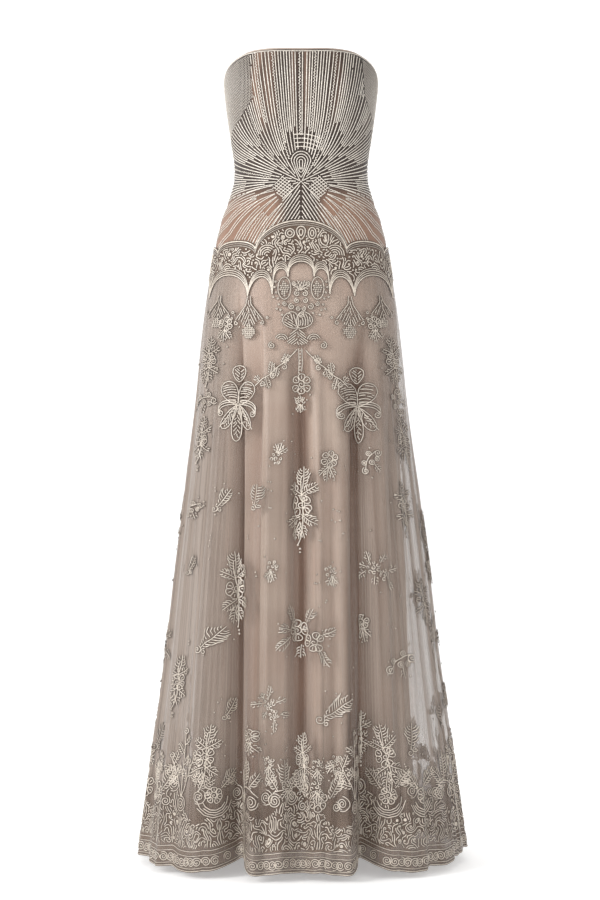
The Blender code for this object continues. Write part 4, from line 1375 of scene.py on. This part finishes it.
# %% Sprig places
# Motif, the pixel of the photograph where it is seen, height and turn. A minus height is the mirror image.
SPRIGS = (
    ("crest", 300, 289, 0.094, 0), ("bow", 299, 330, 0.072, 0), ("pendant", 248, 317, 0.072, 0),
    ("pendant", 351, 317, 0.072, 0), ("palmette", 237, 402, 0.126, 2), ("palmette", 358, 404, 0.126, -2),
    ("flower", 300, 384, 0.034, 0), ("small", 299, 404, 0.034, 0), ("garland", 298, 365, 0.066, 0),
    ("garland", 302, 366, -0.066, 0), ("small", 277, 453, 0.046, 200), ("small", 330, 466, 0.062, 10),
    ("branch", 373, 462, 0.052, -20), ("feather", 218, 501, 0.052, 20), ("feather", 253, 499, 0.050, -8),
    ("long", 300, 506, 0.130, 4), ("long", 403, 506, 0.085, -4), ("long", 237, 590, 0.125, -3),
    ("small", 270, 571, 0.046, 15), ("small", 333, 576, 0.046, -12), ("bouquet", 376, 569, 0.058, 12),
    ("long", 423, 600, 0.075, -6), ("feather", 203, 640, 0.066, 25), ("bouquet", 302, 633, 0.094, 8),
    ("small", 362, 629, 0.054, -10), ("branch", 402, 664, 0.062, 10), ("feather", 228, 711, 0.046, 15),
    ("bouquet", 270, 706, 0.056, 40), ("feather", 331, 710, 0.080, 42), ("long", 361, 737, 0.078, 3),
    ("feather", 441, 716, 0.046, -15), ("small", 268, 766, 0.040, 0), ("long", 206, 758, 0.110, 8),
    ("long", 387, 758, 0.110, -8), ("small", 288, 790, 0.044, 0), ("small", 318, 792, 0.044, 0),
    ("small", 334, 764, 0.040, 30), ("long", 302, 762, 0.090, 0), ("branch", 190, 510, 0.040, 0),
    ("feather", 189, 566, 0.040, 10), ("long", 176, 682, 0.090, 6), ("feather", 158, 738, 0.060, 10),
    ("small", 249, 742, 0.052, 0), ("feather", 410, 742, 0.060, -10), ("beads", 285, 480, 0.050, 0),
    ("beads", 322, 520, 0.060, 0), ("beads", 262, 540, 0.060, 0), ("beads", 355, 520, 0.060, 0),
    ("beads", 318, 595, 0.050, 0), ("beads", 285, 735, 0.060, 0), ("beads", 345, 680, 0.060, 0),
    ("beads", 222, 545, 0.060, 0), ("beads", 388, 610, 0.060, 0), ("pendant", 217, 312, 0.056, 4),
    ("small", 224, 330, 0.050, 5), ("long", 208, 362, 0.085, 4), ("branch", 203, 402, 0.050, 30),
    ("long", 200, 440, 0.080, 5), ("pendant", 383, 312, 0.056, -4), ("small", 376, 330, 0.050, -5),
    ("long", 394, 362, 0.085, -4), ("branch", 399, 402, 0.050, -60), ("long", 404, 440, 0.080, -5),
)
SIDE_SPRIGS = (
    (-0.62, "long", 0.09), (-0.70, "small", 0.05), (-0.80, "bouquet", 0.07), (-0.89, "feather", 0.06),
    (-0.97, "small", 0.05),
)


def on_net(x, y):
    """The column and height on the net of a point of the front view, and how wide to draw there, because
    cloth that turns away looks narrow. A depth gives the place, and the place a better depth. Of all
    columns seen at x, the nearest to the camera counts."""
    depth = -0.12
    for _ in range(6):
        scale = PIXEL * (DISTANCE + depth) / DISTANCE
        across, height = (x - PHOTO_X) * scale, MIDDLE - (y - PHOTO_Y) * scale
        radius = float(body_radius(np.degrees(np.arctan2(across, -depth)), np.array(height)))
        radius = max(radius, abs(across) + 1e-4)
        depth = -np.sqrt(radius**2 - across**2)
    columns = np.linspace(-89.0, 89.0, 1425)
    points = net_face(columns, np.full(len(columns), height))
    seen = PHOTO_X + points[:, 0] * DISTANCE / (DISTANCE + points[:, 1]) / PIXEL
    found = int(np.argmin(np.where(np.abs(seen - x) < 1.5, points[:, 1], 1.0 + np.abs(seen - x))))
    low, high = max(found - 16, 0), min(found + 16, len(columns) - 1)
    cloth_run = np.linalg.norm(np.diff(points[low : high + 1], axis=0), axis=1).sum()
    shown = abs(points[high, 0] - points[low, 0]) / cloth_run
    return float(columns[found]), height, float(np.clip(1.0 / (shown + 1e-6), 1.0, 1.6))


def put(motif, column, height, tall, turn, flip=1.0, wide=1.0):
    """A motif as lines on the cloth, upright at a column and a height. A minus size is its mirror image."""
    lines = moved(MOTIFS[motif](abs(tall)), turn=turn, flip=flip * np.sign(tall))
    shade = 0.10 + 0.10 * draw.random() + 0.22 * float(np.clip((from_front(column) - 45.0) / 15.0, 0.0, 1.0))
    placed = [line * np.array([wide, 1.0]) + np.array([0.0, height]) for line in lines]
    return [(column, line, CORD_HALF * 0.9, shade + 0.14 * draw.random()) for line in placed]


sprig_lines = {"front": [], "back": []}
for motif, x, y, tall, turn in SPRIGS:
    column, height, wide = on_net(x, y)
    sprig_lines["front"] += put(motif, column, height, tall, turn, 1.0, wide)
    column, height, turn = np.copysign(180.0, column) - column, height + draw.normal(0, 0.008), turn + draw.normal(0, 8)
    sprig_lines["back"] += put(motif, column, height, tall, turn, -1.0, wide)
for height, motif, tall in SIDE_SPRIGS:
    for column in (-97.0, -82.0, 84.0, 96.0):
        end = "front" if abs(column) < 90 else "back"
        place = column + draw.normal(0, 3), height + draw.normal(0, 0.02)
        sprig_lines[end] += put(motif, *place, tall, draw.normal(0, 15))
hanging = [np.array([[x, -0.312], [0.001 + x, -0.335], [y, -0.352]]) for x, y in ((-0.0028, -0.0026), (0.0028, 0.0026))]
hanging += [dot(0.0012, 0.0, -0.316 - 0.0055 * k) for k in range(7)]
for column, key in ((-0.4, "front"), (179.6, "back")):
    sprig_lines[key] += [(column, line, CORD_HALF * 0.7, 0.2) for line in hanging]
for key, lines in sprig_lines.items():
    lines = [line for line in lines if line[1][:, 1].min() > HEM + 0.03]
    sew("net_sprigs_" + key, flat_net, lines, 0.0020, CORD_STEP, ROOF, CORD, "lace")

# %% [markdown]
# ## Lace yoke and lace hem
# The yoke and the hem are packed with swirling cords, so little of the ground shows. Centres are scattered over
# the patch, and cords are laid round them side by side, each stopping where it comes near another: the swirls
# then meet without crossing, as a lace maker would lay them. Corded arches edge the yoke.


# %% Swirls that fill a patch
def swirl_way(centres, box, cell=0.0015, spread=0.0085):
    """Directions for rows that turn round most centres and run straight past the others. Each centre c adds
    exp(-|p - c|^2 / 2 spread^2) times its own direction, and the sum is made a unit long."""
    low, high = np.array(box)
    size = ((high - low) / cell).astype(int) + 2
    field = np.full((size[0], size[1], 2), 1e-7)
    span = np.arange(-int(3 * spread / cell), int(3 * spread / cell) + 1)
    for number, centre in enumerate(centres):
        rows, downs = (int((centre[k] - low[k]) / cell) + span for k in (0, 1))
        rows, downs = rows[(rows >= 0) & (rows < size[0])], downs[(downs >= 0) & (downs < size[1])]
        if not len(rows) or not len(downs):
            continue
        x, y = np.meshgrid(low[0] + rows * cell - centre[0], low[1] + downs * cell - centre[1], indexing="ij")
        far = np.hypot(x, y) + 1e-4
        if number % 4 == 3:
            angle = draw.random() * 2 * np.pi
            turn = np.stack([np.sin(angle) + 0 * x, np.cos(angle) + 0 * x], axis=-1)
        else:
            sense, lean = (1.0 if number % 2 else -1.0), 0.3 * draw.normal()
            turn = np.stack([-y * sense + lean * x, x * sense + lean * y], axis=-1) / far[..., None]
        field[rows[0] : rows[-1] + 1, downs[0] : downs[-1] + 1] += np.exp(-((far / spread) ** 2) / 2)[..., None] * turn
    field /= np.linalg.norm(field, axis=-1, keepdims=True)

    def way(points):
        spot = np.clip(((points - low) / cell).astype(int), 0, size - 1)
        return field[spot[..., 0], spot[..., 1]]

    return way


def swirls(box, inside, gap, pitch, others=()):
    """A patch filled with rows that swirl: the first seeds lie just beside the centres."""
    centres, late = (scattered(*zip(*box), apart) for apart in (gap, 0.0045))
    seeds = centres + np.array([0.0, 0.0022])
    return lay_rows(swirl_way(centres, box), inside, seeds, box, pitch, 0.075, 0.60, others, 0.0014, late)


def scattered(across, heights, gap):
    """Seeds on a staggered grid, each pushed a little out of line."""
    x, y = np.meshgrid(np.arange(*across, gap), np.arange(*heights, gap * 0.8))
    x = x + (np.arange(len(x)) % 2)[:, None] * gap / 2
    seeds = np.stack([x, y], axis=-1).reshape(-1, 2)
    return seeds + draw.normal(0, 0.21 * gap, seeds.shape)


def yoke_edges(column):
    hip = hang_angle(column, np.full(np.shape(column), FOLD_TOP))
    return arches(UPPER_ARCHES, hip), arches(LOWER_ARCHES, hip)


def small_arches(column):
    """The scalloped edge that the cords of the yoke make: three small arches in each half of the middle one."""
    hip = hang_angle(column, np.full(np.shape(column), FOLD_TOP))
    return np.where(from_front(hip) < 41.0, arches(SMALL_ARCHES, hip), arches(LOWER_ARCHES, hip))


def in_yoke(line):
    column = column_at(flat_net, 0.0, line[:, 0], line[:, 1])
    return (line[:, 1] < yoke_edges(column)[0] - 0.0115) & (line[:, 1] > small_arches(column) + 0.0135)


def level_cord(flat, edge, offset, start=-180.0, end=180.0, count=2400):
    """A cord that follows an edge at a fixed offset in height, as one line on paper."""
    column = np.linspace(start, end, count)
    height = edge(column) + offset
    return np.stack([run_at(flat, column, height), height], axis=-1)


yoke_lines = []
for offset, half, tone in ((-0.0012, 1.2, 0.0), (-0.0050, 0.7, 0.5), (-0.0086, 0.7, 0.45)):
    yoke_lines.append((0.0, level_cord(flat_net, lambda c: yoke_edges(c)[0], offset), CORD_HALF * half, tone))
for offset, half, tone in ((0.0012, 1.0, 0.05), (0.0050, 0.8, 0.15), (0.0088, 0.8, 0.1), (0.0122, 0.7, 0.3)):
    yoke_lines.append((0.0, level_cord(flat_net, small_arches, offset), CORD_HALF * half, tone))
medallions = moved([ring(0.0078), ring(0.0040)], -0.0190, -0.1130)
medallions += moved([oval(0.0066, 0.0098), oval(0.0028, 0.0052)], 0.0190, -0.1130)
medallions += moved([petal(0.0230, 0.0160), petal(0.0120, 0.0070) + np.array([0.0, 0.0062])], 0.0, -0.1240)
for way in (-1.0, 1.0):
    for reach, many, x, y, lean in ((70.0, 4, 0.058, -0.150, 25), (60.0, 3, 0.136, -0.176, 10)):
        nested = [ring(radius, -reach, 2 * reach) for radius in (0.005, 0.009, 0.013, 0.017)[:many]]
        medallions += moved(nested, way * x, y, way * lean)
spots = scattered((-0.24, 0.24), (-0.215, -0.10), 0.0240)
medallions += [dot(0.0013, *spot) for spot in spots if in_yoke(spot[None])[0]]
for centre in (0.0, 180.0):
    yoke_lines += [(centre, line, CORD_HALF * 0.95, 0.06) for line in medallions]
half_way = float(run_at(flat_net, 180.0, -0.14))
laid = [line for _, line, _, _ in yoke_lines[:7]] + medallions
laid += [line + np.array([way * half_way, 0.0]) for line in medallions for way in (-1.0, 1.0)]
rows = swirls(((-0.53, -0.26), (0.53, -0.07)), in_yoke, 0.0150, 0.0039, laid)
yoke_lines += [(0.0, line, CORD_HALF * 0.95, 0.16 * draw.random()) for line in rows]


def hem_rise(line):
    """Height over the hem edge, and the column, of points on paper."""
    column = column_at(flat_net, 0.0, line[:, 0], line[:, 1])
    return line[:, 1] - hem_edge(column), column


HEM_UNITS = 26
unit_columns = -180.0 + (np.arange(HEM_UNITS) + 0.5) * 360.0 / HEM_UNITS + draw.normal(0, 0.7, HEM_UNITS)
unit_lows = hem_edge(unit_columns)


def in_hem(line):
    rise, column = hem_rise(line)
    crest = 0.106 + 0.018 * np.cos(np.radians(column * 13)) + 0.012 * np.cos(np.radians(column * 7 + 40))
    return (rise > 0.0385) & (rise < crest)


def festoon(low):
    """A flower in hanging nested arcs, with a leaf on each side."""
    arcs = [ring(radius, 110.0 + draw.normal(0, 8), 140.0) for radius in (0.0325, 0.0285, 0.0245, 0.0205)]
    lines = moved(arcs, 0.0, low + 0.120)
    lines += moved(flower(0.0150, 7), 0.0, low + 0.124)
    for way in (-1.0, 1.0):
        lines += moved(leaf(0.042, 0.017), way * 0.012, low + 0.136, way * 42)
    return lines + moved(berries(6, 0.03), 0.0, low + 0.165)


def double_coil(low):
    """Two large coils under an arch, with a fan of three leaves above."""
    lines = []
    for way in (-1.0, 1.0):
        lines += moved([coil(0.0130, 2.8 * way, 90)], way * 0.0165, low + 0.114 + draw.normal(0, 0.004))
        lines += moved(leaf(0.034, 0.014), way * 0.010, low + 0.135, way * 38)
    lines += moved([ring(0.034, -58, 116)], 0.0, low + 0.104)
    return lines + moved(leaf(0.046, 0.018), 0.0, low + 0.140) + moved(berries(6, 0.04), 0.0, low + 0.17)


def rose(low):
    """A wide flower with ringed petals between two long bowed leaves."""
    lines = moved(flower(0.0175, 6), 0.0, low + 0.118)
    for way in (-1.0, 1.0):
        lines += moved(leaf(0.052, 0.018), way * 0.021, low + 0.122, way * 28)
        lines += moved([coil(0.0085, 2.0 * way)], way * 0.032, low + 0.108)
    return lines + moved(small_sprig(0.044), 0.0, low + 0.168)


def plant(low):
    """Stems that rise from a coil, with leaves in pairs and a flower on the middle one."""
    lines = moved([coil(0.0135, 2.8)], 0.0, low + 0.108)
    for lean, tall in ((-26, 0.070), (0, 0.105), (24, 0.078)):
        a = np.radians(lean)
        lines += moved([stem([(0, 0), (0.0, tall * 0.5), (0.0, tall)])], 0.0, low + 0.120, lean)
        for up, way in ((0.35, -1), (0.5, 1), (0.68, -1), (0.82, 1)):
            foot = np.array([np.sin(a), np.cos(a)]) * tall * up + np.array([0.0, low + 0.120])
            lines += moved(leaf(0.024, 0.010), foot[0], foot[1], lean + way * 48)
        lines += moved([coil(0.005, 1.5)], np.sin(a) * tall, low + 0.124 + np.cos(a) * tall)
    return lines


around = float(run_at(flat_net, 180.0, -1.15))
hem_lines = []
for offset, half in ((0.0022, 0.9), (0.0066, 0.6), (0.0270, 0.65), (0.0345, 0.75)):
    hem_lines.append((0.0, level_cord(flat_net, hem_edge, offset, count=4800), CORD_HALF * half, 0.3))
for number, column in enumerate(np.arange(-180.0, 180.0, 2.35)):
    low = float(hem_edge(np.array([column]))[0])
    edging = moved([coil(0.0082, 2.2 if number % 2 else -2.2, draw.random() * 360)], 0.0, low + 0.0165)
    hem_lines += [(column, line, CORD_HALF, 0.3) for line in edging]
for number, (column, low) in enumerate(zip(unit_columns, unit_lows)):
    unit = (festoon, plant, rose, double_coil)[(number * 3 + number // 4) % 4]
    hem_lines += [(column, line, CORD_HALF * 0.95, 0.18 + 0.15 * draw.random()) for line in unit(low)]
    beside = moved([coil(0.0095, 2.2, 180), ring(0.0125, 0, 200)], 0.044, low + 0.125 + draw.normal(0, 0.006))
    beside += moved(leaf(0.030, 0.013), 0.044, low + 0.140, draw.normal(0, 40))
    hem_lines += [(column, line, CORD_HALF * 0.9, 0.3) for line in beside]
drawn = []
for column, line, _, _ in hem_lines:
    drawn.append(line + np.stack([run_at(flat_net, column, line[:, 1]), 0 * line[:, 0]], axis=-1))
for line in swirls(((-around - 0.02, -1.165), (around + 0.02, -1.035)), in_hem, 0.0150, 0.0039, drawn):
    quarter = float(from_front(column_at(flat_net, 0.0, line[:1, 0], line[:1, 1]))[0])
    greyer = 0.35 * np.exp(-(((quarter - 22.0) / 5.0) ** 2)) + 0.2 * np.exp(-(((quarter - 60.0) / 10.0) ** 2))
    hem_lines.append((0.0, line, CORD_HALF * 0.9, 0.10 + greyer + 0.24 * draw.random()))


def by_panel(lines):
    """Lines sorted by the panel that their middle lies on."""
    sorted_lines = {ending: [] for ending, _, _ in PANELS}
    for line in lines:
        pieces = np.array_split(line[1], max(1, len(line[1]) // 200)) if len(line[1]) > 400 else [line[1]]
        for number, part in enumerate(pieces):
            if number:
                part = np.concatenate([pieces[number - 1][-1:], part])
            middle = part[len(part) // 2][None]
            column = float(column_at(flat_net, line[0], middle[:, 0], middle[:, 1])[0])
            key = "front" if abs(column) < 90.0 else ("back_right" if column > 0 else "back_left")
            sorted_lines[key].append((line[0], part, line[2], line[3]))
    return sorted_lines


for label, lines in (("yoke_cords_", yoke_lines), ("hem_cords_", hem_lines)):
    for ending, part in by_panel(lines).items():
        sew(label + ending, flat_net, part, 0.0012, CORD_STEP, ROOF, CORD, "lace")


# %% Lace grounds
def make_lace_ground(name, dark, light, thin, thick):
    """The close net under the lace: cover from the piece's own attribute, colour from a slow unevenness. Its dark
    colours are partly the net's own taupe and partly painted shadow between the cords.
    """
    made, tree, shader = principled(name, dark, 0.8, Sheen_Weight=0.25, Specular_IOR_Level=0.2)
    where = surface_map(tree)
    threads = use_group(tree, HEXAGONS, where, Cells=800.0)["Threads"]
    shade = ramp(tree, use_group(tree, WEAVE, where, Threads=1500.0)["Shade"], 0.35, 0.65)
    cover = ramp(tree, attribute(tree, "cover"), 0.0, 1.0, thin, thick)
    alpha = maths(tree, "MINIMUM", maths(tree, "MULTIPLY", cover, ramp(tree, threads, 0.0, 1.0, 0.8, 1.25)), 1.0)
    colour = blend_colours(tree, shade, dark, light)
    fill(tree, shader, {"Base Color": colour, "Alpha": alpha, "Normal": bump(tree, threads, 0.0002, 0.6)})
    return made


# Both grounds are dark: partly the close net's own taupe, partly painted shadow between the cords.
YOKE_GROUND = make_lace_ground("yoke_ground", srgb(92, 75, 64), srgb(124, 105, 92), 0.88, 0.96)
HEM_GROUND = make_lace_ground("hem_ground", srgb(106, 90, 79), srgb(132, 116, 104), 0.0, 0.76)
for ending, start, end in PANELS:
    wide = (end - start) / 180.0
    cloth(
        f"yoke_{ending}_lace", net_face, start, end, int(260 * wide) + 1, 14,
        lambda c: yoke_edges(c)[0], lambda c: yoke_edges(c)[1], 0.0, YOKE_GROUND, "lace", "yoke_" + ending, 0.0008,
        cover=lambda c, h: np.ones(h.shape),
    )
    cloth(
        f"hem_{ending}_lace", net_face, start, end, int(380 * wide) + 1, 20,
        lambda c: hem_edge(c) + 0.19, lambda c: hem_edge(c) + 0.0006, 0.0, HEM_GROUND, "lace", "hem_border_" + ending,
        0.0008, cover=lambda c, h: np.clip((0.160 - (h - hem_edge(c))) / 0.10, 0, 1) ** 1.1,
    )

# %% [markdown]
# ## Zip teeth
# The centre-back zip is a coil zip: two rows of small bent teeth that mesh. Here every tooth is a short loop
# of cord laid across the tape, left and right in turn, from the slider down to the hip seam.

# %% Zip teeth
TOOTH_PITCH, TOOTH_WIDE = 0.00125, 0.0013
zip_lines = []
for number, height in enumerate(np.arange(SLIDER_LOW - TOOTH_PITCH, HIP_SEAM + 0.003, -TOOTH_PITCH)):
    way = 1.0 if number % 2 else -1.0
    tooth = np.array([[way * TOOTH_WIDE, height], [-way * 0.0002, height + 0.0002]])
    zip_lines.append((180.0, tooth, 0.00042, 0.2))
sew("zip_teeth", flat_bodice, zip_lines, 0.0, 0.0009, ROUND, CORD, "zip_metal")


# %% Binding and painted zip
def make_binding():
    made, tree, shader = principled("bias_binding", srgb(176, 160, 147), 0.55, Sheen_Weight=0.3)
    weave = use_group(tree, WEAVE, object_map(tree), Threads=900.0)
    colour = blend_colours(tree, ramp(tree, weave["Shade"], 0.3, 0.7), srgb(160, 143, 130), srgb(190, 175, 162))
    fill(tree, shader, {"Base Color": colour, "Normal": bump(tree, weave["Height"], 0.0001, 0.7)})
    return made


def make_zip_metal():
    made, tree, shader = principled("painted_zip", srgb(196, 184, 170), 0.35, Metallic=0.35)
    wear = use_group(tree, WEAVE, object_map(tree), Threads=60.0)["Shade"]
    colour = blend_colours(tree, ramp(tree, wear, 0.4, 0.6), srgb(180, 167, 152), srgb(204, 194, 181))
    fill(tree, shader, {"Base Color": colour, "Roughness": ramp(tree, wear, 0.35, 0.65, 0.28, 0.45)})
    return made


BINDING, ZIP = make_binding(), make_zip_metal()
for node_name, finish in (("top_binding", BINDING), ("back_zip", BINDING), ("zip_slider", ZIP), ("zip_pull", ZIP)):
    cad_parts[node_name].data.materials.clear()
    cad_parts[node_name].data.materials.append(finish)
